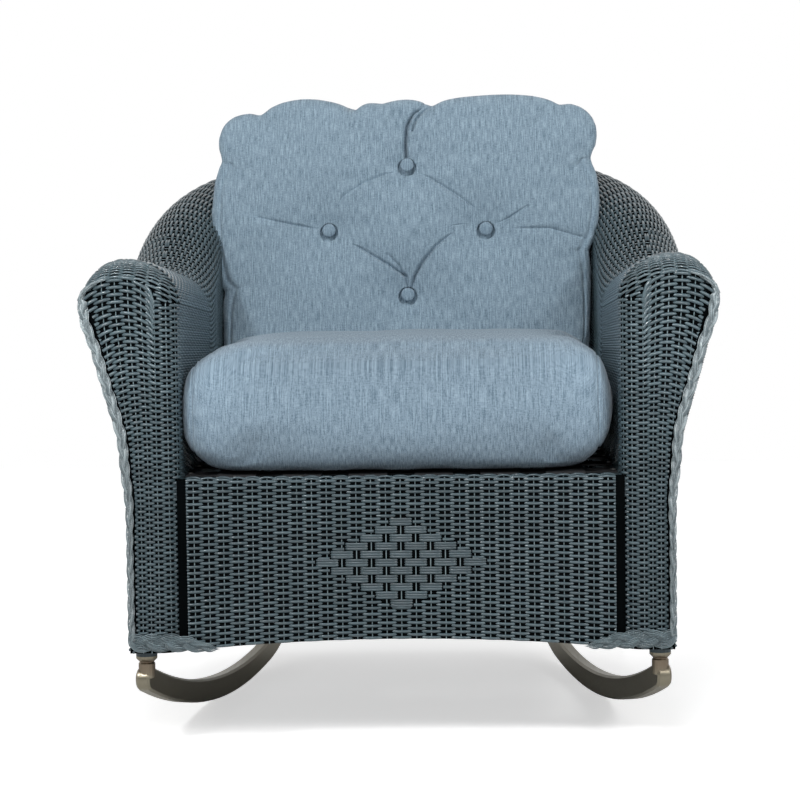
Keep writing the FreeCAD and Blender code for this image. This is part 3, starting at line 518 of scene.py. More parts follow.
def strand_finish(name, dark, light, roughness):
    material, tree, shader = new_material(name)
    tone = new_node(tree, "ShaderNodeAttribute", attribute_name="tone")
    drawn = grain(tree, 900)
    half = new_node(tree, "ShaderNodeMath", {0: drawn["Value"], 1: 0.4}, operation="MULTIPLY")
    both = new_node(tree, "ShaderNodeMath", {0: tone.outputs["Fac"], 1: 0.6, 2: half.outputs[0]},
                    operation="MULTIPLY_ADD")
    shade = colour_mix(tree, both.outputs[0], linear(*dark), linear(*light))
    fill_inputs(tree, shader, {"Base Color": shade,
                               "Roughness": ranged(tree, drawn["Height"], roughness - 0.06, roughness + 0.1),
                               "Normal": bumps(tree, drawn["Height"], 0.25, 0.0002),
                               "Coat Weight": 0.6, "Coat Roughness": 0.16})
    return material


weave_finish = strand_finish("weave_finish", (46, 61, 67), (78, 96, 103), 0.3)
# the stakes take a lighter copy of the strand colour: painted highlight for the light the thin stakes catch
# between the dark slots
lit_stake_finish = strand_finish("lit_stake_finish", (92, 111, 117), (134, 151, 157), 0.26)
flat_strand_finish = strand_finish("flat_strand_finish", (46, 61, 67), (68, 86, 93), 0.38)
braid_finish = strand_finish("braid_finish", (64, 80, 86), (176, 188, 192), 0.26)
foot_braid_finish = strand_finish("foot_braid_finish", (42, 56, 62), (128, 146, 152), 0.28)
# near-black painted shade: the colour of the sheet that stands for the dark inside of the woven walls
painted_shade_finish, tree, shader = new_material("painted_shade_finish")
shade = colour_mix(tree, grain(tree)["Value"], (0.001, 0.0013, 0.0015, 1), (0.003, 0.004, 0.0045, 1))
fill_inputs(tree, shader, {"Base Color": shade, "Roughness": 1.0, "Specular IOR Level": 0.0})
weft = {"Lift": 0.0028, "Width": 0.0042, "Thickness": 0.0030, "Sides": 5, "Finish": weave_finish}
stake = {"Lift": 0.0, "Width": 0.0022, "Thickness": 0.0030, "Sides": 5, "Finish": lit_stake_finish}

# %% [markdown]
# A strand that passes behind a stake lies three millimetres deep in a slot as narrow as itself, in a closed
# wall, so it looks black there. A near-black sheet of painted shade lies at the depth where the strands dip
# in, standing for the dark inside of the wall. It gives the same black on each side of a stake, and it keeps
# the white floor from shining through the holes.

# %% Painted shade sheet
def painted_shade_mesh(name, points, ways, mirrored=False):
    # closed thin sheet over a grid of points of the surface, in the near-black painted shade finish
    rows, columns = points.shape[:2]
    front = points - ways * painted_shade_depth
    back = points - ways * (painted_shade_depth + 0.0004)
    both = np.stack([front, back]).reshape(-1, 3)
    if mirrored:
        both = both * [-1, 1, 1]
    index = np.arange(rows * columns).reshape(rows, columns)
    faces = np.stack([index[:-1, :-1], index[1:, :-1], index[1:, 1:], index[:-1, 1:]], -1).reshape(-1, 4)
    rim = np.concatenate([index[0, :-1], index[:-1, -1], index[-1, :0:-1], index[:0:-1, 0]])
    next_rim = np.roll(rim, -1)
    far = rows * columns
    sides = np.stack([rim, next_rim, next_rim + far, rim + far], -1)
    mesh = bpy.data.meshes.new(name)
    mesh.from_pydata(both.tolist(), [], np.concatenate([faces, faces[:, ::-1] + far, sides]).tolist())
    mesh.materials.append(painted_shade_finish)
    work = bmesh.new()
    work.from_mesh(mesh)
    bmesh.ops.recalc_face_normals(work, faces=work.faces)
    work.to_mesh(mesh)
    work.free()
    return mesh


def painted_shade_sheet(sheet, face, start, end):
    along = int(round(end - start)) * 2
    u, v = np.meshgrid(np.linspace(start, end, along + 1), np.linspace(0.0, 1.0, 24), indexing="ij")
    return sheet(u, v), sheet_normal(sheet, u, v, face)


print("painted_shade_sheet", painted_shade_depth * 1000, "mm under the surface")

# %% [markdown]
# Inner walls, crest and outer walls of the corners and the back are plain rows along the edge of the well.
# On the inner wall a second set of rows starts where the edge begins to climb, thin at first, and the rows
# fan out up the back as they do on the real chair.

# %% Corners and back
inner_rows = 128
crest_rows = 27
outer_rows = 136
inner_shares = (np.arange(inner_rows) + 0.5) / inner_rows
half_shares = (np.arange(crest_rows) + 0.5) / crest_rows * 0.5
crest_shares = np.concatenate([half_shares, 1 - half_shares[::-1]])
outer_shares = (np.arange(outer_rows) + 0.5) / outer_rows


def fan_girth(u, gap):
    return np.clip(gap / strand_pitch, 0.55, 1.15)


def weave_span(name, start, end):
    # the three sheets between two columns
    columns = np.arange(math.ceil(start + 0.01), math.floor(end - 0.01) + 1)
    for part, sheet, face, shares, spacing, steps in (
            ("inner", inner_sheet, -1, inner_shares, 1 / inner_rows, 40),
            ("crest", crest_sheet, -1, crest_shares, 0.5 / crest_rows, 24),
            ("outer", outer_sheet, -1, outer_shares, 1 / outer_rows, 40)):
        wefts = Guides(len(name) + steps)
        add_rows(wefts, sheet, face, start, end, shares, spacing, range(len(shares)),
                 girth=fan_girth if part == "inner" else None)
        stakes = Guides(3)
        add_stakes(stakes, sheet, face, columns, 0, 1, steps)
        yield part, wefts, stakes, painted_shade_sheet(sheet, face, start, end)


def make_side(base, wefts, stakes, painted_shade_grids, node_base):
    for side in ("right", "left"):
        mirrored = side == "left"
        meshes = [sweep_guides(wefts.mesh("wefts", mirrored), **weft),
                  sweep_guides(stakes.mesh("stakes", mirrored), **stake)]
        for points, ways in painted_shade_grids:
            meshes.append(painted_shade_mesh("painted_shade_sheet", points, ways, mirrored))
        add_piece(base + "_" + side, meshes, "frame", [node_base + "_" + side])


for part, wefts, stakes, painted_shade_grid in weave_span("corner", arm_columns, corner_end):
    make_side("corner_" + part + "_strands", wefts, stakes, [painted_shade_grid], "corner_" + part + "_weave")
for part, wefts, stakes, painted_shade_grid in weave_span("back", corner_end, corner_end + back_columns):
    meshes = [sweep_guides(wefts.mesh("wefts"), **weft), sweep_guides(stakes.mesh("stakes"), **stake),
              painted_shade_mesh("painted_shade_sheet", *painted_shade_grid)]
    add_piece("back_" + part + "_strands", meshes, "frame", ["back_" + part + "_weave"])

# %% [markdown]
# The arm's rows are the hard part. On the face they lie level and bend into an arch under the rolled top.
# Over the nose they cross the arm from side to side, then turn and run back along both shoulders, so each
# is a long U round the front of the arm. Below the shoulder they turn the soft inner corner level and run on
# along the well.

# %% Arm: inner wall, nose and outer wall
face_rows = range(-55, inner_rows // 2 + 2)
corner_run = front_corner * math.pi / 2
corner_count = front_corner / column - corner_run / column
fan_start, fan_grown, fan_end = 26.5, 28, 29.5


def corner_path(run):
    # from the face round the inner corner and along the wall: x, depth and the way the sheet faces
    angle = np.clip(run / front_corner, 0, math.pi / 2)
    x = well_reach + front_corner - front_corner * np.sin(angle)
    depth = front_corner - front_corner * np.cos(angle) + np.maximum(run - corner_run, 0)
    ways = np.stack([-np.sin(angle), -np.cos(angle), 0 * angle], -1)
    return x, depth, ways


arm_inner = Guides(11)
run_end = corner_run + arm_length - front_corner
for m in range(inner_rows):
    k = m // 2
    odd = m % 2
    start = 0.0 if not odd else corner_run + fan_start * column - front_corner
    steps = int(round((run_end - start) / column * 3))
    run = np.linspace(start, run_end, steps + 1)
    x, depth, ways = corner_path(run)
    u = depth / column
    edge = station(u)["edge"]
    z = rail_top + inner_shares[m] * (edge - rail_top)
    count = np.where(run > corner_run, u, corner_count + run / column)
    shifted = smooth(u, fan_start, fan_end)
    phase = count + (k + (k % 2) * shifted if not odd else 1)
    alone = 1 - smooth(u, fan_start, arm_columns)
    gap = (edge - rail_top) / inner_rows * (1 + alone)
    points = np.stack([x, front_y + depth, z], -1)
    grown = 0.5 + 0.5 * smooth(u, fan_start, fan_grown) if odd else 1
    size = np.clip(gap / strand_pitch, 0.55, 1.1) * grown
    arm_inner.add(points - ways * weft_depth, ways, over_under(phase), size)
arm_inner_stakes = Guides(12)
for count in range(-1, arm_columns + 1):
    x, depth, way = corner_path(np.full(30, (count - corner_count) * column))
    edge = station(depth / column)["edge"]
    z = rail_top + np.linspace(0, 1, 30) * (edge - rail_top)
    arm_inner_stakes.add(np.stack([x, front_y + depth, z], -1) - way * stake_depth, way, 0.0, stake_girth)
run, share = np.meshgrid(np.linspace(0, run_end, 80), np.linspace(0, 1, 12), indexing="ij")
x, depth, ways = corner_path(run)
edge = station(depth / column)["edge"]
painted_shade_grid = np.stack([x, front_y + depth, rail_top + share * (edge - rail_top)], -1), ways
make_side("arm_inner_strands", arm_inner, arm_inner_stakes, [painted_shade_grid], "arm_inner_weave")

# %% [markdown]
# The crest's rows are the long U shapes. Depth and share across the crest both follow a round path over the
# nose, and the count of stakes changes over from the arm's columns to the face's as a row turns. Five short
# rows more fill the two front corners.

# %% The U-shaped rows of the arm's crest
face_width = crest_line - front_corner
nose_turn = 0.5
short_rows = 5


def nose_row(share):
    # depth and share across the crest along one U, from the arm's end in, over the nose and out again. Rows
    # with a share under zero lie on the two front corners only.
    angle = np.linspace(0, math.pi / 2, 400)
    a = 1 - (1 - share) * np.sin(angle) ** nose_turn
    b = 1 - (1 - share) * np.cos(angle) ** nose_turn
    turned = np.concatenate([angle, angle[::-1][1:]])
    depth = np.concatenate([a, a[::-1][1:]]) * front_round
    v = np.concatenate([b, 2 - b[::-1][1:]]) / 2
    run = np.linalg.norm(np.diff(crest_sheet(depth / column, v), axis=0), axis=1)
    run = np.concatenate([[0], np.cumsum(run)])
    even = np.linspace(0, run[-1], 2 * int(run[-1] / column * 1.8) + 1)
    turned = np.interp(even, run, turned)
    if share < 0:
        return np.interp(even, run, depth), np.interp(even, run, v), turned
    leg = np.linspace(arm_length, front_round, int(round((arm_length - front_round) / column * 3)) + 1)[:-1]
    depth = np.concatenate([leg, np.interp(even, run, depth), leg[::-1]])
    v = np.concatenate([0 * leg + share / 2, np.interp(even, run, v), 0 * leg + 1 - share / 2])
    return depth, v, np.concatenate([0 * leg, turned, 0 * leg])


arm_crest = Guides(13)
for row in range(-short_rows, crest_rows):
    depth, v, turned = nose_row((row + 0.5) / crest_rows)
    u = depth / column
    points = crest_sheet(u, v)
    ways = sheet_normal(crest_sheet, u, v, -1)
    across = corner_count - (points[:, 0] - well_reach - front_corner) / column
    middle = len(u) // 2
    count = np.empty_like(u)
    for half, sense in ((slice(0, middle + 1), 1), (slice(middle, len(u)), -1)):
        near = np.argmin(np.abs(turned[half] - math.pi / 4))
        jump = 2 * np.round((across[half][near] - sense * u[half][near]) / 2)
        weight = 1 - smooth(turned[half], 0.4, 1.15)
        count[half] = (sense * u[half] + jump) * weight + across[half] * (1 - weight)
    lifts = over_under(count + row)
    girths = np.where(depth < front_round, 0.85, 1.0)
    inside = (depth >= 0) & (v >= 0) & (v <= 1)
    edges = np.flatnonzero(np.diff(inside.astype(int)))
    for span in np.split(np.arange(len(u)), edges + 1):
        if inside[span[0]] and len(span) > 2:
            arm_crest.add((points - ways * weft_depth)[span], ways[span], lifts[span], girths[span])
arm_crest_stakes = Guides(14)
add_stakes(arm_crest_stakes, crest_sheet, -1, range(5, arm_columns + 1), 0.0, 1.0, 24)
for v_place in (0.26, 0.38, 0.5, 0.62, 0.74):
    u = np.linspace(0, front_round / column * (1 - abs(v_place - 0.5)), 8)
    v = np.full_like(u, v_place)
    ways = sheet_normal(crest_sheet, u, v, -1)
    arm_crest_stakes.add(crest_sheet(u, v) - ways * stake_depth, ways, 0.0, stake_girth)
make_side("arm_crest_strands", arm_crest, arm_crest_stakes, [painted_shade_sheet(crest_sheet, -1, 0, arm_columns)],
          "arm_crest_weave")

arm_outer = Guides(15)
add_rows(arm_outer, outer_sheet, -1, 0, arm_columns, outer_shares, 1 / outer_rows, range(outer_rows))
arm_outer_stakes = Guides(16)
add_stakes(arm_outer_stakes, outer_sheet, -1, range(1, arm_columns + 1), 0, 1, 40)
make_side("arm_outer_strands", arm_outer, arm_outer_stakes, [painted_shade_sheet(outer_sheet, -1, 0, arm_columns)],
          "arm_outer_weave")

# %% [markdown]
# The face lies between the inner corner and the outer wall's front edge, whose line is read from the sheets
# themselves. The braid covers its outer margin, so the rows and stakes end a little short of it.

# %% The arm's face
outline = crest_sheet(np.zeros(200), np.linspace(0, 1, 200))
wall = outer_sheet(np.zeros(200), np.linspace(0, 1, 200))
face_inner = well_reach + front_corner
low_edge, roll_edge = skirt_height, float(wall[0, 2])
braid_gap = 0.0012
turn_run = 0.055


def wall_x(level):
    # how far out the outer wall's front edge lies at a height
    return np.interp(level, wall[::-1, 2], wall[::-1, 0])


def face_point(share, across):
    # share up the face from the skirt, and across from the inner corner to the outer edge. Rows slope down
    # outwards in the middle of the face, and near its top they bend into the outline.
    level = low_edge + share * (roll_edge - low_edge)
    x = face_inner + across * (wall_x(level) - face_inner)
    true_arch = np.maximum(np.interp(x, outline[:, 0], outline[:, 2]) - roll_edge, -0.004)
    soft_arch = 0.030 * np.maximum(1 - ((across - 0.5) / 0.5) ** 2, 0)
    near_top = smooth(share, 0.84, 1.0)
    arch = soft_arch * (1 - near_top) + true_arch * near_top
    slant = 0.2 * smooth(level, 0.30, 0.44) * (1 - smooth(level, 0.50, 0.584))
    z = level + arch * np.clip((share - 0.4) / 0.6, 0, 1) ** 2 - slant * (x - face_inner)
    return x, z


def band_width(level):
    # the braid along the outer edge of the face, at a height
    return np.interp(level, [0.13, 0.28, 0.34, 0.44, 0.60], [0.009, 0.009, 0.012, 0.014, 0.013])


arm_face = Guides(17)
forward = np.array([0.0, -1.0, 0.0])
for k in face_rows:
    start_z = rail_top + (2 * k + 0.5) / inner_rows * (station(0)["edge"] - rail_top)
    share = min(float((start_z - low_edge) / (roll_edge - low_edge)), 0.999)
    width = float(wall_x(start_z)) - face_inner
    edge_share = 1 - (band_width(start_z) + braid_gap) / width * (1 - smooth(start_z, 0.55, 0.58))
    across = np.linspace(edge_share, 0, max(4, int(round(width / column * 4))) + 1)
    x, z = face_point(np.full_like(across, share), across)
    count = corner_count - (x - face_inner) / column * math.sqrt(face_width / width)
    points = np.stack([x, np.full_like(x, front_y), z], -1)
    ways = np.broadcast_to(forward, points.shape)
    gap = 1 + 0.1 * np.clip((share - 0.4) / 0.6, 0, 1)
    if k < 0:
        run = np.linspace(0, turn_run, 12)[1:]
        turn_x, depth, turn_ways = corner_path(run)
        points = np.concatenate([points, np.stack([turn_x, front_y + depth, np.full_like(run, z[-1])], -1)])
        ways = np.concatenate([ways, turn_ways])
        count = np.concatenate([count, corner_count + run / column])
    arm_face.add(points - ways * weft_depth, ways, over_under(count + k), gap)
arm_face_stakes = Guides(18)
for j in range(0, 6):
    share = np.linspace(0, 1, 60)
    level = low_edge + share * (roll_edge - low_edge)
    width = wall_x(level) - face_inner
    away = (j + 1 + corner_count) * column / np.sqrt(face_width / width)
    across = away / width
    keep = (across < 1 - (band_width(level) + braid_gap) / width) & (across > 0)
    if keep.sum() < 3:
        continue
    x, z = face_point(share[keep], across[keep])
    points = np.stack([x, np.full_like(x, front_y), z], -1)
    ways = np.broadcast_to(forward, points.shape)
    arm_face_stakes.add(points - forward * stake_depth, ways, 0.0, stake_girth)
for count in (-1, 0, 1):
    x, depth, way = corner_path(np.full(20, (count - corner_count) * column))
    z = np.linspace(skirt_height, rail_top, 20)
    arm_face_stakes.add(np.stack([x, front_y + depth, z], -1) - way * stake_depth, way, 0.0, stake_girth)
share, across = np.meshgrid(np.linspace(0, 1, 60), np.linspace(0, 0.97, 10), indexing="ij")
x, z = face_point(share, across)
points = np.stack([x, np.full_like(x, front_y), z], -1)
face_painted_shade = points, np.broadcast_to(forward, points.shape)
# painted shade also lies behind the face and round the turn of its inner corner
run, level = np.meshgrid(np.linspace(0, turn_run, 16), [skirt_height, rail_top], indexing="ij")
x, depth, ways = corner_path(run)
turn_painted_shade = np.stack([x, front_y + depth, level], -1), ways
make_side("arm_front_strands", arm_face, arm_face_stakes, [face_painted_shade, turn_painted_shade], "arm_front_weave")

# %% [markdown]
# The apron hangs between the arm fronts, a little behind them. Its stakes are thin and its rows close, and in
# the middle eleven rows of wide flat strands make a diamond, one strand over each second stake. The fine
# rows stop at the diamond's stepped edge, where their ends tuck behind the flat strands.

# %% Apron with its diamond
apron_half = 0.277
apron_face = front_y + 0.009
apron_low, apron_top, apron_arch = 0.129, 0.354, 0.013
apron_roll = 0.007
apron_columns = 29
apron_column = 2 * apron_half / apron_columns
apron_end = apron_top - apron_roll + apron_roll * math.pi / 2 + 0.004
diamond_height, diamond_pitch, diamond_rows = 0.2415, 0.0106, 5
fine_rows = 57


def apron_bottom(x):
    return apron_low + apron_arch * (1 - (x / apron_half) ** 2)


def apron_point(x, height):
    # height along the sheet: up the face, then over the roll and back along the rail
    turn = np.clip((height - (apron_top - apron_roll)) / apron_roll, 0, math.pi / 2)
    past = np.maximum(height - (apron_top - apron_roll) - apron_roll * math.pi / 2, 0)
    y = apron_face + apron_roll * (1 - np.cos(turn)) + past
    z = np.minimum(height, apron_top - apron_roll) + apron_roll * np.sin(turn)
    ways = np.stack([0 * x, -np.cos(turn) + 0 * x, np.sin(turn) + 0 * x], -1)
    return np.stack([x, y + 0 * x, z + 0 * x], -1), ways


def diamond_reach(height):
    # half the diamond's width in columns at a height, from the row that the height falls in
    row = np.round((height - diamond_height) / diamond_pitch)
    return np.where(np.abs(row) <= diamond_rows, diamond_rows + 1 - np.abs(row), 0)


fine = Guides(21)
flat = Guides(22)
apron_stakes = Guides(23)
for row in range(fine_rows):
    share = (row + 0.5) / fine_rows
    count = np.linspace(0, apron_columns, apron_columns * 3 + 1)
    x = (count - apron_columns / 2) * apron_column
    height = apron_bottom(x) * (1 - share) + apron_end * share
    points, ways = apron_point(x, height)
    row_reach = diamond_reach(height) * apron_column
    outside = np.abs(x) > row_reach - apron_column * 0.5
    lifts = over_under(count - 0.5 + row)
    edges = np.flatnonzero(np.diff(outside.astype(int)))
    for span in np.split(np.arange(len(x)), edges + 1):
        if outside[span[0]] and len(span) > 3:
            fine.add((points - ways * weft_depth)[span], ways[span], lifts[span], 0.97)
for row in range(-diamond_rows, diamond_rows + 1):
    overs = diamond_rows + 1 - abs(row)
    count = np.arange(-overs, overs + 0.01, 1 / 6)
    x = count * apron_column
    over = np.clip(np.cos(math.pi * (count + overs - 1)) * 2.2 + 1.5, -1.5, 1.1)
    for thread in (-1, 0, 1):
        level = diamond_height + row * diamond_pitch + thread * 0.0033
        points, ways = apron_point(x, np.full_like(x, level))
        flat.add(points - ways * weft_depth, ways, over, 1.0)
for j in range(apron_columns):
    x = (j + 0.5 - apron_columns / 2) * apron_column
    height = np.linspace(apron_bottom(x), apron_end, 34)
    points, ways = apron_point(np.full_like(height, x), height)
    apron_stakes.add(points - ways * stake_depth, ways, 0.0, stake_girth)
flat_strand = dict(weft, Width=0.0037, Thickness=0.0024, Lift=0.0022, Sides=6, Finish=flat_strand_finish)
# the painted shade behind the apron reaches past it on each side, so the gaps beside the arm fronts read dark
painted_shade_half = apron_half + 0.0118
x, share = np.meshgrid(np.linspace(-painted_shade_half, painted_shade_half, 40), np.linspace(0, 1, 30), indexing="ij")
points, ways = apron_point(x, apron_bottom(x) + share * (apron_top + 0.006 - apron_bottom(x)))
add_piece("apron_strands", [sweep_guides(fine.mesh("fine"), **weft),
                            sweep_guides(flat.mesh("flat"), **flat_strand),
                            sweep_guides(apron_stakes.mesh("stakes"), **stake),
                            painted_shade_mesh("painted_shade_sheet", points, ways)],
          "frame", ["apron_weave"])

# %% [markdown]
# The braid is a flat plait of three strands, each a bundle of fine round cords. Each bundle swings from side
# to side and dips behind the next one. It follows the outer edge of the arm's face, and a wider one lies
# along the bottom of the arm front and runs on under the apron.

# %% Braids
def plait(guides, points, inward, width, depth, lay, cords=5):
    # three bundles plaited along a line; inward points across the band, and the band's face looks forward
    steps = np.linalg.norm(np.diff(points, axis=0), axis=1)
    run = np.concatenate([[0], np.cumsum(steps)])
    samples = np.linspace(0, run[-1], max(8, int(run[-1] / lay * 18)))
    centre = np.stack([np.interp(samples, run, points[:, i]) for i in range(3)], -1)
    side = np.stack([np.interp(samples, run, inward[:, i]) for i in range(3)], -1)
    side = side / np.linalg.norm(side, axis=1, keepdims=True)
    wide = np.interp(samples, run, width)
    for bundle in range(3):
        swing = 2 * math.pi * (samples / lay + bundle / 3)
        across = 0.25 * np.sin(swing)
        out = np.sin(2 * swing)
        for cord in range(cords):
            place_across = (cord - (cords - 1) / 2) / cords
            place = centre + side * (wide * (0.40 + across * 1.1 + place_across * 0.52))[:, None]
            rise = depth * (0.48 + 0.4 * out - 2.0 * place_across ** 2)
            place = place + forward * rise[:, None]
            guides.add(place, np.broadcast_to(forward, place.shape), 0.0, wide / arm_band)


def edge_line():
    # up the outer edge of the arm's face and a little way over its top
    low = wall[::-1]
    over = outline[::-1][:80]
    keep = low[:, 2] > skirt_height + 0.012
    line = np.concatenate([low[keep], over[1:]])
    line[:, 1] = front_y
    along = np.gradient(line, axis=0)
    across = np.cross(along, np.array([0.0, 1.0, 0.0]))
    across = across / np.linalg.norm(across, axis=1, keepdims=True)
    across = across * -np.sign(across[:, :1] + 1e-9)
    top = np.arange(len(line)) > keep.sum()
    width = band_width(line[:, 2])
    width = np.where(top, width * np.linspace(1.6, 0.2, len(line)).clip(0, 1), width)
    return line, across, width


arm_band = 0.014
edge_plait = Guides(31)
line, across, width = edge_line()
plait(edge_plait, line, across, width, 0.007, 0.069)
foot_plait = Guides(32)
foot_x = np.linspace(foot_reach, foot_reach - 0.118, 40)
foot_top = skirt_height + 0.0235 - 0.018 * np.clip((0.292 - foot_x) / 0.057, 0, 1) ** 1.3
foot_low = skirt_height + 0.006 * np.clip((0.252 - foot_x) / 0.017, 0, 1) ** 1.5
foot_low = foot_low + 0.008 * np.clip((foot_x - 0.345) / 0.008, 0, 1) ** 2
foot_line = np.stack([foot_x, np.full_like(foot_x, front_y), foot_top], -1)
down = np.broadcast_to(np.array([0.0, 0.0, -1.0]), foot_line.shape)
plait(foot_plait, foot_line, down, foot_top - foot_low, 0.008, 0.072, cords=6)
cord = {"Lift": 0.0, "Width": 0.00132, "Thickness": 0.0022, "Sides": 6, "Finish": braid_finish}
foot_cord = dict(cord, Width=0.00105, Thickness=0.0018, Finish=foot_braid_finish)
for side in ("right", "left"):
    mirrored = side == "left"
    add_piece("edge_plait_" + side, [sweep_guides(edge_plait.mesh("e", mirrored), **cord)], "frame",
              ["arm_braid_" + side])
    add_piece("foot_plait_" + side, [sweep_guides(foot_plait.mesh("b", mirrored), **foot_cord)], "frame",
              ["foot_braid_" + side])

# %% [markdown]
# The cushions are foam in a sewn cover. Each starts as a closed net of rings a little smaller than its CAD
# solid, is remeshed to an even grid, and is blown up by the cloth solver like a balloon with a little
# pressure, with the tufts held back. The cap on how far a point may move keeps the cushion inside its place.

# %% Cushion helpers
cover_voxel = 0.006
slack_size = 0.0008


def closed_mesh(name, rings):
    # closed surface over rings of as many points each
    count = len(rings[0])
    points = [tuple(p) for ring in rings for p in ring]
    faces = []
    for r in range(len(rings) - 1):
        for i in range(count):
            j = (i + 1) % count
            faces.append((r * count + i, r * count + j, (r + 1) * count + j, (r + 1) * count + i))
    faces.append(tuple(range(count))[::-1])
    faces.append(tuple(range((len(rings) - 1) * count, len(rings) * count)))
    mesh = bpy.data.meshes.new(name)
    mesh.from_pydata(points, [], faces)
    mesh.validate()
    return mesh


def remeshed(name, mesh, voxel):
    piece = new_object(name, mesh)
    modifier = piece.modifiers.new("even", "REMESH")
    modifier.mode = "VOXEL"
    modifier.voxel_size = voxel
    smoother = piece.modifiers.new("soft", "SMOOTH")
    smoother.factor = 0.5
    smoother.iterations = 4
    graph = bpy.context.evaluated_depsgraph_get()
    made = bpy.data.meshes.new_from_object(piece.evaluated_get(graph))
    bpy.data.objects.remove(piece)
    made.name = name
    return made


def coordinates(mesh):
    points = np.empty(len(mesh.vertices) * 3)
    mesh.vertices.foreach_get("co", points)
    return points.reshape(-1, 3)


def inflated(name, mesh, pressure, held, cap):
    # blow the cover up with the cloth solver; held gives how firmly each point is pinned, 0 to 1
    piece = new_object(name, mesh)
    before = coordinates(mesh)
    group = piece.vertex_groups.new(name="held")
    firmness = np.round(held, 1)
    for level in np.unique(firmness):
        if level > 0:
            group.add([int(i) for i in np.flatnonzero(firmness == level)], float(level), "REPLACE")
    cloth = piece.modifiers.new("cloth", "CLOTH")
    settings = cloth.settings
    settings.use_pressure = True
    settings.uniform_pressure_force = pressure
    settings.effector_weights.gravity = 0
    settings.vertex_group_mass = "held"
    settings.quality = 4
    settings.tension_stiffness = 18
    settings.compression_stiffness = 18
    settings.bending_stiffness = 2.5
    scene = bpy.context.scene
    for number in range(1, 21):
        scene.frame_set(number)
    graph = bpy.context.evaluated_depsgraph_get()
    blown = bpy.data.meshes.new_from_object(piece.evaluated_get(graph))
    after = coordinates(blown)
    bpy.data.meshes.remove(blown)
    piece.modifiers.remove(cloth)
    scene.frame_set(1)
    move = after - before
    far = np.linalg.norm(move, axis=1, keepdims=True)
    move = move * np.minimum(1, cap / np.maximum(far, 1e-9))
    mesh.vertices.foreach_set("co", (before + move).ravel())
    mesh.update()
    print(name, "moved up to", round(float(far.max()) * 1000, 1), "mm, on average",
          round(float(far.mean()) * 1000, 1))
    modifier = piece.modifiers.new("round", "SUBSURF")
    modifier.levels = 1
    modifier.render_levels = 1
    graph = bpy.context.evaluated_depsgraph_get()
    fine_mesh = bpy.data.meshes.new_from_object(piece.evaluated_get(graph))
    piece.modifiers.remove(modifier)
    piece.data = fine_mesh
    return piece


def vertex_normals(mesh):
    normals = np.empty(len(mesh.vertices) * 3)
    mesh.vertices.foreach_get("normal", normals)
    return normals.reshape(-1, 3)


def press(mesh, amount):
    # move each point inwards along its normal
    points = coordinates(mesh)
    mesh.vertices.foreach_set("co", (points - vertex_normals(mesh) * amount[:, None]).ravel())
    mesh.update()


def line_distance(x, h, path):
    # shortest way from points to a broken line, and the share along it
    best = np.full(len(x), 1e9)
    where = np.zeros(len(x))
    side = np.zeros(len(x))
    total = len(path) - 1
    for i in range(total):
        (ax, ah), (bx, bh) = path[i], path[i + 1]
        dx, dh = bx - ax, bh - ah
        t = np.clip(((x - ax) * dx + (h - ah) * dh) / (dx * dx + dh * dh), 0, 1)
        d = np.hypot(x - ax - t * dx, h - ah - t * dh)
        where = np.where(d < best, (i + t) / total, where)
        side = np.where(d < best, np.sign(dx * (h - ah) - dh * (x - ax)), side)
        best = np.minimum(best, d)
    return best, where, side


def refined(mesh, near, cuts=2):
    # split the faces that touch the chosen points into smaller ones
    work = bmesh.new()
    work.from_mesh(mesh)
    edges = {edge for face in work.faces if any(near[v.index] for v in face.verts) for edge in face.edges}
    bmesh.ops.subdivide_edges(work, edges=list(edges), cuts=cuts, use_grid_fill=True)
    bmesh.ops.triangulate(work, faces=[face for face in work.faces if len(face.verts) > 4])
    work.to_mesh(mesh)
    work.free()
    mesh.update()


print("cushion helpers ready")

# %% [markdown]
# The cover is a woven outdoor cloth: upright slubs, thicker threads here and there, on a fine plain ground.
# The slubs follow the cloth's own direction, from the back of a cushion forwards and down its front, so the
# pattern is drawn from object coordinates that are stretched along that way. Faint sheen softens the edges.

# %% Cushion cloth
def stretched_noise(tree, place, scale, detail):
    mapping = new_node(tree, "ShaderNodeMapping", {"Vector": place, "Scale": scale})
    noise = new_node(tree, "ShaderNodeTexNoise",
                     {"Vector": mapping.outputs["Vector"], "Scale": 1, "Detail": detail})
    return noise.outputs["Fac"]


def cloth_finish(name, dark, light, along):
    material, tree, shader = new_material(name)
    place = new_node(tree, "ShaderNodeTexCoord").outputs["Object"]
    parts = new_node(tree, "ShaderNodeSeparateXYZ", {"Vector": place})
    lengthways = new_node(tree, "ShaderNodeVectorMath", {0: place, 1: along}, operation="DOT_PRODUCT")
    laid = new_node(tree, "ShaderNodeCombineXYZ",
                    {"X": parts.outputs["X"], "Y": lengthways.outputs["Value"]}).outputs["Vector"]

    def weighted(value, share, more=0.0):
        node = new_node(tree, "ShaderNodeMath", {0: value, 1: share, 2: more}, operation="MULTIPLY_ADD")
        return node.outputs[0]

    slubs = stretched_noise(tree, laid, (560, 58, 1), 3)
    threads = stretched_noise(tree, laid, (1300, 420, 1), 1)
    picks = stretched_noise(tree, laid, (150, 1100, 1), 1)
    value = weighted(slubs, 0.5, weighted(threads, 0.3, weighted(picks, 0.2)))
    spread = new_node(tree, "ShaderNodeMapRange", {"Value": value, "From Min": 0.38, "From Max": 0.62})
    shade = colour_mix(tree, spread.outputs["Result"], linear(*dark), linear(*light))
    fill_inputs(tree, shader, {"Base Color": shade, "Normal": bumps(tree, value, 0.7, 0.0008),
                               "Roughness": 0.92, "Specular IOR Level": 0.15, "Sheen Weight": 0.12,
                               "Sheen Roughness": 0.6})
    return material


cushion_cloth = cloth_finish("cushion_cloth", (96, 117, 132), (152, 173, 188), (0.0, -0.2, 1.0))
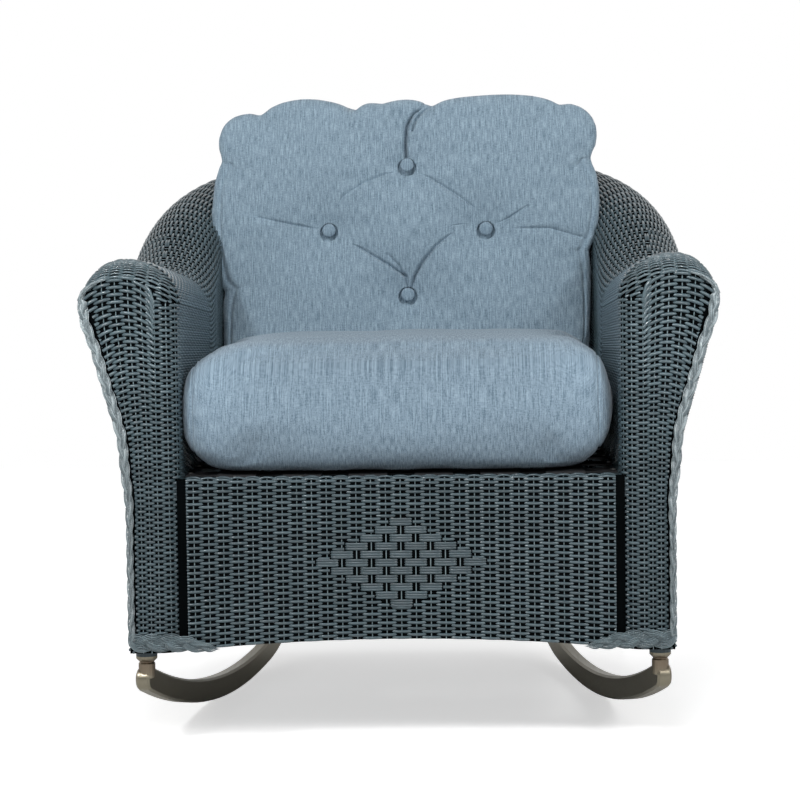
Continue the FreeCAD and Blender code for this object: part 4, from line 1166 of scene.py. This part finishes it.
# the seat's cloth is the back cushion's cloth a little darker, as painted shade over the whole seat; its
# slubs are laid from back to front
shaded_seat_cloth = cloth_finish("shaded_seat_cloth", (90, 110, 125), (144, 164, 179), (0.0, -1.0, 1.0))
button_cloth = cloth_finish("button_cloth", (100, 121, 137), (146, 167, 182), (0.0, -0.2, 1.0))


def dress(piece, name, node, body, finish):
    # give a finished cover its cloth and its place in the assembly
    piece.name = name
    piece.data.name = name
    piece.data.materials.clear()
    piece.data.materials.append(finish)
    piece.data.polygons.foreach_set("use_smooth", [True] * len(piece.data.polygons))
    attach(piece, body)
    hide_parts(node)
    piece.data.calc_loop_triangles()
    print(name, len(piece.data.loop_triangles), "triangles", "box", [round(v, 3) for v in piece.dimensions])


def slack(mesh, size):
    # gentle uneven fullness all over, as loose foam and cloth have
    x, y, z = coordinates(mesh).T
    waves = np.sin(31 * x + 17 * z + 1.3) * np.sin(23 * z - 29 * y) + np.sin(53 * x - 41 * z + 0.4) * 0.5
    press(mesh, size * waves)


# %% [markdown]
# The back cushion leans in the well. Gathers pull its edge in at eight places, and the cover swells between
# them, more on the upper corners. The outline is a list of these places, with how far the edge swells up to
# the next one. Four buttons sink into the front, and pleats run between them and out to the gathers.

# %% Back cushion
slope = back_lean / (back_height - rail_top)
cushion_height, cushion_depth = 0.520, 0.150
deck_rest, rear_rest = 0.3543, 0.002
gathers = [(-0.285, 0.228), (-0.289, 0.430), (-0.226, 0.504), (-0.083, 0.506), (0.038, 0.512),
           (0.235, 0.514), (0.285, 0.4265), (0.281, 0.284)]
outline_places = [(-0.280, 0.030, 0.003), (*gathers[0], 0.017), (*gathers[1], 0.033), (*gathers[2], 0.018),
                  (*gathers[3], 0.007), (-0.040, 0.513, 0.009), (*gathers[4], 0.014), (*gathers[5], 0.033),
                  (*gathers[6], 0.014), (*gathers[7], 0.004), (0.270, 0.030, 0.008), (0.240, 0.0, 0.0),
                  (-0.240, 0.0, 0.008)]
# share of the depth from the rear, share of the width, and inset of the outline at top and bottom
level_shares = [(0.0, 0.38, 0.085), (0.08, 0.53, 0.035), (0.21, 0.65, 0.010), (0.41, 0.79, 0.0),
                (0.63, 0.90, 0.0), (0.82, 0.985, 0.0), (0.93, 0.99, 0.002), (0.985, 0.955, 0.012),
                (1.015, 0.89, 0.030), (1.04, 0.76, 0.065), (1.07, 0.5, 0.125), (1.085, 0.25, 0.185)]
button_places = [(0.0, 0.418), (-0.119, 0.320), (0.119, 0.320), (0.0, 0.222)]


def on_back(x, forward_by, height):
    return (x, front_y + well_depth - rear_rest - forward_by + slope * height, deck_rest + height)


def back_ring(forward_by, reach_share, inset):
    scale = 1 - 2 * inset / cushion_height
    swell_share = np.clip((reach_share - 0.6) / 0.35, 0.3, 1)
    ring = []
    for i, (x, h, swell) in enumerate(outline_places):
        next_x, next_h = outline_places[(i + 1) % len(outline_places)][:2]
        run_x, run_h = next_x - x, next_h - h
        run = math.hypot(run_x, run_h)
        for t in np.arange(0, 1, 1 / 8):
            bulge = swell * swell_share * math.sin(math.pi * t) ** 0.8
            ring_x = (x + run_x * t - run_h / run * bulge) * reach_share
            ring_h = h + run_h * t + run_x / run * bulge
            ring_h = cushion_height / 2 + (ring_h - cushion_height / 2) * scale
            ring.append(on_back(ring_x, forward_by, ring_h))
    return ring


def back_coordinates(mesh):
    # across, height over the deck and distance from the rear face, for every point of the cover
    points = coordinates(mesh)
    height = points[:, 2] - deck_rest
    return points[:, 0], height, front_y + well_depth - rear_rest + slope * height - points[:, 1]


rings = [back_ring(cushion_depth * t, reach_share, inset) for t, reach_share, inset in level_shares]
mesh = remeshed("back_cover", closed_mesh("back_net", rings), cover_voxel)
x, h, f = back_coordinates(mesh)
held = np.zeros(len(x))
pin_width = 0.014
for places, firmness in ((button_places, 1.0), (gathers, 0.9)):
    for px, ph in places:
        held = np.maximum(held, firmness * np.exp(-((x - px) ** 2 + (h - ph) ** 2) / pin_width ** 2))
held = np.where((f < 0.05) | (h < 0.01), 1, held)
back_piece = inflated("back_cover", mesh, 4.0, np.clip(held, 0, 1), 0.008)
print("back cover", len(back_piece.data.vertices), "points")

# %% [markdown]
# The dips are pressed into the blown cover. A tuft is a wide hollow with a flat seat for its button. A pleat
# is a soft dip with a narrow groove, steeper on one side, and it grows shallow along its path. Faces near the
# dips are made smaller first, and a thin line pressed in along the sides shows the stitched edge.

# %% Tufts and pleats
# each pleat: its path from a button, the soft dip, the narrow groove, and the side that the lip lies on
pleats = [([(0.0, 0.428), (-0.002, 0.458), (0.0, 0.483), (0.009, 0.500), (0.034, 0.520)], 0.010, 0.012, -1),
          ([(0.009, 0.474), (0.014, 0.490), (0.027, 0.504), (0.040, 0.518)], 0.004, 0.007, -1),
          ([(-0.010, 0.412), (-0.033, 0.407), (-0.067, 0.393), (-0.097, 0.373), (-0.116, 0.342)],
           0.006, 0.003, 1),
          ([(0.010, 0.412), (0.032, 0.402), (0.070, 0.377), (0.104, 0.352), (0.115, 0.334)],
           0.006, 0.004, -1),
          ([(0.0, 0.232), (-0.002, 0.250), (-0.029, 0.269), (-0.067, 0.292), (-0.097, 0.308)],
           0.006, 0.007, 1),
          ([(-0.004, 0.250), (-0.014, 0.268), (-0.030, 0.284)], 0.003, 0.004, 1),
          ([(0.004, 0.232), (0.011, 0.252), (0.024, 0.274), (0.043, 0.296), (0.068, 0.315)],
           0.006, 0.008, -1),
          ([(0.107, 0.329), (0.086, 0.329), (0.065, 0.326)], 0.004, 0.006, 1),
          ([(0.130, 0.328), (0.153, 0.337), (0.182, 0.354)], 0.006, 0.004, 1),
          ([(0.130, 0.322), (0.217, 0.320), (0.263, 0.306)], 0.003, 0.003, 1),
          ([(-0.128, 0.324), (-0.169, 0.330), (-0.226, 0.342)], 0.006, 0.005, 1),
          ([(0.003, 0.212), (0.006, 0.196), (0.006, 0.178)], 0.004, 0.008, 1)]
seam_front = 0.1475
dip_reach, button_reach, dip_from = 0.008, 0.018, 0.09
lip_width, soft_width, groove_width = 0.008, 0.026, 0.0019
tuft_depth, tuft_width, button_seat, button_seat_depth = 0.017, 0.046, 0.0125, 0.0215
gather_depth, gather_width, pull_depth, pull_width = 0.003, 0.008, 0.005, 0.013
upper_gather_depth, upper_gathers_from = 0.008, 0.45
middle_height, gather_start, gather_end = 0.30, 1.04, 0.78
stitch_depth, stitch_width = 0.0022, 0.0013


def side_seam(x, h, f):
    # how near points are to the stitched edge of the side panel
    return np.where((np.abs(x) > 0.2) & (h > 0.03) & (h < 0.425), np.abs(f - seam_front), 1.0)


mesh = back_piece.data
slack(mesh, slack_size)
x, h, f = back_coordinates(mesh)
near = side_seam(x, h, f) < 0.005
for path, *_ in pleats:
    near |= (line_distance(x, h, path)[0] < dip_reach) & (f > dip_from)
for bx, bh in button_places:
    near |= (np.hypot(x - bx, h - bh) < button_reach) & (f > dip_from)
refined(mesh, near)
x, h, f = back_coordinates(mesh)
facing = smooth(-vertex_normals(mesh)[:, 1], -0.2, 0.6) * smooth(f, 0.06, 0.11)
dip = np.zeros(len(x))
for path, soft, groove, lip in pleats:
    away, along, side = line_distance(x, h, path)
    fade = 1 - 0.6 * along ** 2
    broad = 1.35 * soft * np.exp(-(away / np.where(side == lip, lip_width, soft_width)) ** 1.3)
    dip = np.maximum(dip, broad * fade) + 0.3 * np.minimum(dip, broad * fade)
    dip = dip + groove * fade * np.exp(-(away / groove_width) ** 1.6)
for bx, bh in button_places:
    away = np.hypot(x - bx, h - bh)
    dip = np.maximum(dip, tuft_depth * np.exp(-(away / tuft_width) ** 1.2))
    dip = np.where(away < button_seat, button_seat_depth, dip)
for gx, gh in gathers:
    path = [(gx * share, middle_height + (gh - middle_height) * share)
            for share in (gather_start, gather_end)]
    away, along, side = line_distance(x, h, path)
    deep = upper_gather_depth if gh > upper_gathers_from else gather_depth
    dip = np.maximum(dip, deep * (1 - along) ** 0.7 * np.exp(-(away / gather_width) ** 1.1))
press(mesh, dip * np.maximum(facing, 0.0))
x, h, f = back_coordinates(mesh)
pull = np.zeros(len(x))
for gx, gh in gathers:
    pull = np.maximum(pull, pull_depth * np.exp(-(np.hypot(x - gx, h - gh) / pull_width) ** 1.3))
press(mesh, pull * smooth(f, 0.04, 0.09) * (1 - facing))
x, h, f = back_coordinates(mesh)
press(mesh, stitch_depth * np.exp(-(side_seam(x, h, f) / stitch_width) ** 2))
dress(back_piece, "back_cushion_cover", "back_cushion", "back_cushion", cushion_cloth)

# %% [markdown]
# The seat cushion is a full, soft box. Its cloth runs over the top, down the front and under, so the front
# shows no seam, and panels with a stitched edge close both ends. It lies a little to one side in its well.

# %% Seat cushion
seat_reach, seat_length, seat_height = 0.281, 0.500, 0.163
seat_middle = -0.006
least_round, most_round = 0.012, 0.045
# level up the cushion, inset at its ends, and inset at its front and back
seat_levels = [(0.02, 0.050, 0.046), (0.05, 0.036, 0.032), (0.11, 0.022, 0.017), (0.20, 0.009, 0.007),
               (0.32, 0.002, 0.002), (0.5, 0.0, 0.0), (0.7, 0.0, 0.003), (0.85, 0.003, 0.012),
               (0.94, 0.009, 0.024), (0.99, 0.019, 0.042), (1.02, 0.040, 0.076), (1.035, 0.090, 0.130),
               (1.04, 0.200, 0.215)]


def seat_ring(level, end_inset, front_inset):
    ring = []
    reach_x = seat_reach - end_inset - 0.001
    low, high = 0.008 + front_inset, 0.005 + seat_length - front_inset
    radius = max(least_round, min(most_round, (high - low) / 2 - 0.001, reach_x - 0.001))
    for cx, cd, start in ((reach_x - radius, low + radius, -90), (reach_x - radius, high - radius, 0),
                          (-reach_x + radius, high - radius, 90), (-reach_x + radius, low + radius, 180)):
        for step in range(9):
            angle = math.radians(start + step * 11.25)
            x = cx + radius * math.cos(angle)
            droop = 0.015 * max(-x - 0.10, 0) ** 2 / 0.18 ** 2 + 0.004 * max(x - 0.12, 0) ** 2 / 0.16 ** 2
            z = deck_rest + seat_height * level - droop * level
            ring.append((seat_middle + x, front_y + cd + radius * math.sin(angle), z))
    return ring


mesh = closed_mesh("seat_net", [seat_ring(*row) for row in seat_levels])
mesh = remeshed("seat_cover", mesh, cover_voxel)
points = coordinates(mesh)
held = np.where(points[:, 2] < deck_rest + 0.012, 1.0, 0.0)
seat_piece = inflated("seat_cover", mesh, 3.0, held, 0.007)
mesh = seat_piece.data
slack(mesh, slack_size)
seam_reach, seam_depth, seam_width = 0.264, 0.0018, 0.0014


def seam_distance():
    return np.abs(np.abs(coordinates(mesh)[:, 0] - seat_middle) - seam_reach)


refined(mesh, seam_distance() < 0.004)
press(mesh, seam_depth * np.exp(-(seam_distance() / seam_width) ** 2))
points = coordinates(mesh)
points[:, 2] = np.maximum(points[:, 2], deck_rest)
mesh.vertices.foreach_set("co", points.ravel())
mesh.update()
dress(seat_piece, "seat_cushion_cover", "seat_cushion", "seat_cushion", shaded_seat_cloth)

# %% [markdown]
# Each button is a small dome covered in the same cloth, drawn in by a tie through the cushion to a flatter
# button behind. One short profile, turned round a line, makes each dome, and another makes each tie.

# %% Buttons
def turned_mesh(name, profile, centre, way, sides=32):
    # solid of revolution round a line; the profile has radius and height rows
    way = Vector(way).normalized()
    side = way.orthogonal().normalized()
    other = way.cross(side)
    rings = []
    for radius, rise in profile:
        ring = []
        for i in range(sides):
            angle = 2 * math.pi * i / sides
            ring.append(tuple(Vector(centre) + way * rise + side * (radius * math.cos(angle))
                              + other * (radius * math.sin(angle))))
        rings.append(ring)
    mesh = closed_mesh(name, rings)
    mesh.polygons.foreach_set("use_smooth", [True] * len(mesh.polygons))
    return mesh


def dome(radius, height, steps=7):
    rows = [(radius * 0.86, 0.0)]
    for i in range(steps):
        angle = math.pi / 2 * i / steps
        rows.append((radius * math.cos(angle) ** 0.8, height * (0.3 + 0.7 * math.sin(angle))))
    return rows + [(radius * 0.08, height)]


facing_way = (0, -1, slope)
rear_way = (0, 1, -slope)
cushion_front = 0.166
front_buttons, rear_buttons, ties = [], [], []
for bx, bh in button_places:
    front_place = on_back(bx, cushion_front - 0.0187, bh)
    rear_place = on_back(bx, 0.0057, bh)
    front_buttons.append(turned_mesh("button", dome(0.0102, 0.005), front_place, facing_way))
    rear_buttons.append(turned_mesh("button", dome(0.0105, 0.003), rear_place, rear_way))
    tie_start, tie_end = on_back(bx, 0.0072, bh), on_back(bx, cushion_front - 0.0202, bh)
    length = tie_start[1] - tie_end[1]
    tie_profile = [(0.0013, 0.0), (0.0015, 0.0004), (0.0015, length - 0.0004), (0.0013, length)]
    ties.append(turned_mesh("tie", tie_profile, tie_start, (0, -1, 0), sides=10))
for mesh in front_buttons + rear_buttons:
    mesh.materials.append(button_cloth)
add_piece("front_button_domes", front_buttons, "back_cushion", ["tuft_buttons"])
add_piece("rear_button_domes", rear_buttons, "back_cushion", ["rear_tuft_buttons"])

# %% [markdown]
# The runners are bent bars with a satin pewter finish. The metal is drawn along its length, and heat has
# tinted it where the legs are welded on. The tint is worked out from the distance to the four feet.

# %% Metal, webbing and the rest
def metal_finish(name, colour, roughness, metallic, tint_places=()):
    material, tree, shader = new_material(name)
    place = new_node(tree, "ShaderNodeTexCoord").outputs["Object"]
    lines = stretched_noise(tree, place, (500, 22, 500), 3)
    base = colour_mix(tree, lines, linear(*colour, share=0.85), linear(*colour))
    for spot in tint_places:
        away = new_node(tree, "ShaderNodeVectorMath", {0: place, 1: spot}, operation="DISTANCE")
        near = new_node(tree, "ShaderNodeMapRange", {"Value": away.outputs["Value"], "From Min": 0.019,
                                                     "From Max": 0.008, "To Max": 0.6})
        base = colour_mix(tree, near.outputs["Result"], base, linear(118, 92, 76))
    fill_inputs(tree, shader, {"Base Color": base, "Metallic": metallic,
                               "Roughness": ranged(tree, lines, roughness - 0.09, roughness + 0.13),
                               "Normal": bumps(tree, lines, 0.12, 0.0003)})
    return material


# across, depth from the arm fronts and height of a front and a rear foot
foot_places = ((0.3347, 0.032, 0.106), (0.207, 0.716, 0.068))
feet = [(side * foot_x, front_y + depth, z) for side in (-1, 1) for foot_x, depth, z in foot_places]
pewter = metal_finish("pewter", (150, 144, 127), 0.34, 1.0, feet)
tube_paint = metal_finish("tube_paint", (58, 72, 78), 0.5, 0.0)
rivet_metal = metal_finish("rivet_metal", (180, 180, 178), 0.35, 1.0)


def plain_cloth(name, colour, scale):
    material, tree, shader = new_material(name)
    fibres = grain(tree, scale)["Height"]
    shade = colour_mix(tree, fibres, linear(*colour, share=0.7), linear(*colour))
    fill_inputs(tree, shader, {"Base Color": shade, "Normal": bumps(tree, fibres, 0.5, 0.0005),
                               "Roughness": 0.85})
    return material


webbing_cloth = plain_cloth("webbing_cloth", (52, 53, 56), 1400)
twine_fibre = plain_cloth("twine_fibre", (196, 186, 168), 2600)
for mesh in ties:
    mesh.materials.append(twine_fibre)
add_piece("button_ties", ties, "back_cushion", ["tuft_ties"])
finish_of = {"runner_metal": pewter, "frame_tube": tube_paint, "rod_steel": tube_paint, "rivet": rivet_metal,
             "webbing": webbing_cloth}
slot_of = {part["node"]: part["material_slot"] for part in frame["record"]["subparts"]}
for node, slot in slot_of.items():
    if slot in finish_of:
        for material_slot in frame["nodes"][node].material_slots:
            material_slot.material = finish_of[slot]
print("finished CAD nodes:", sum(slot in finish_of for slot in slot_of.values()))
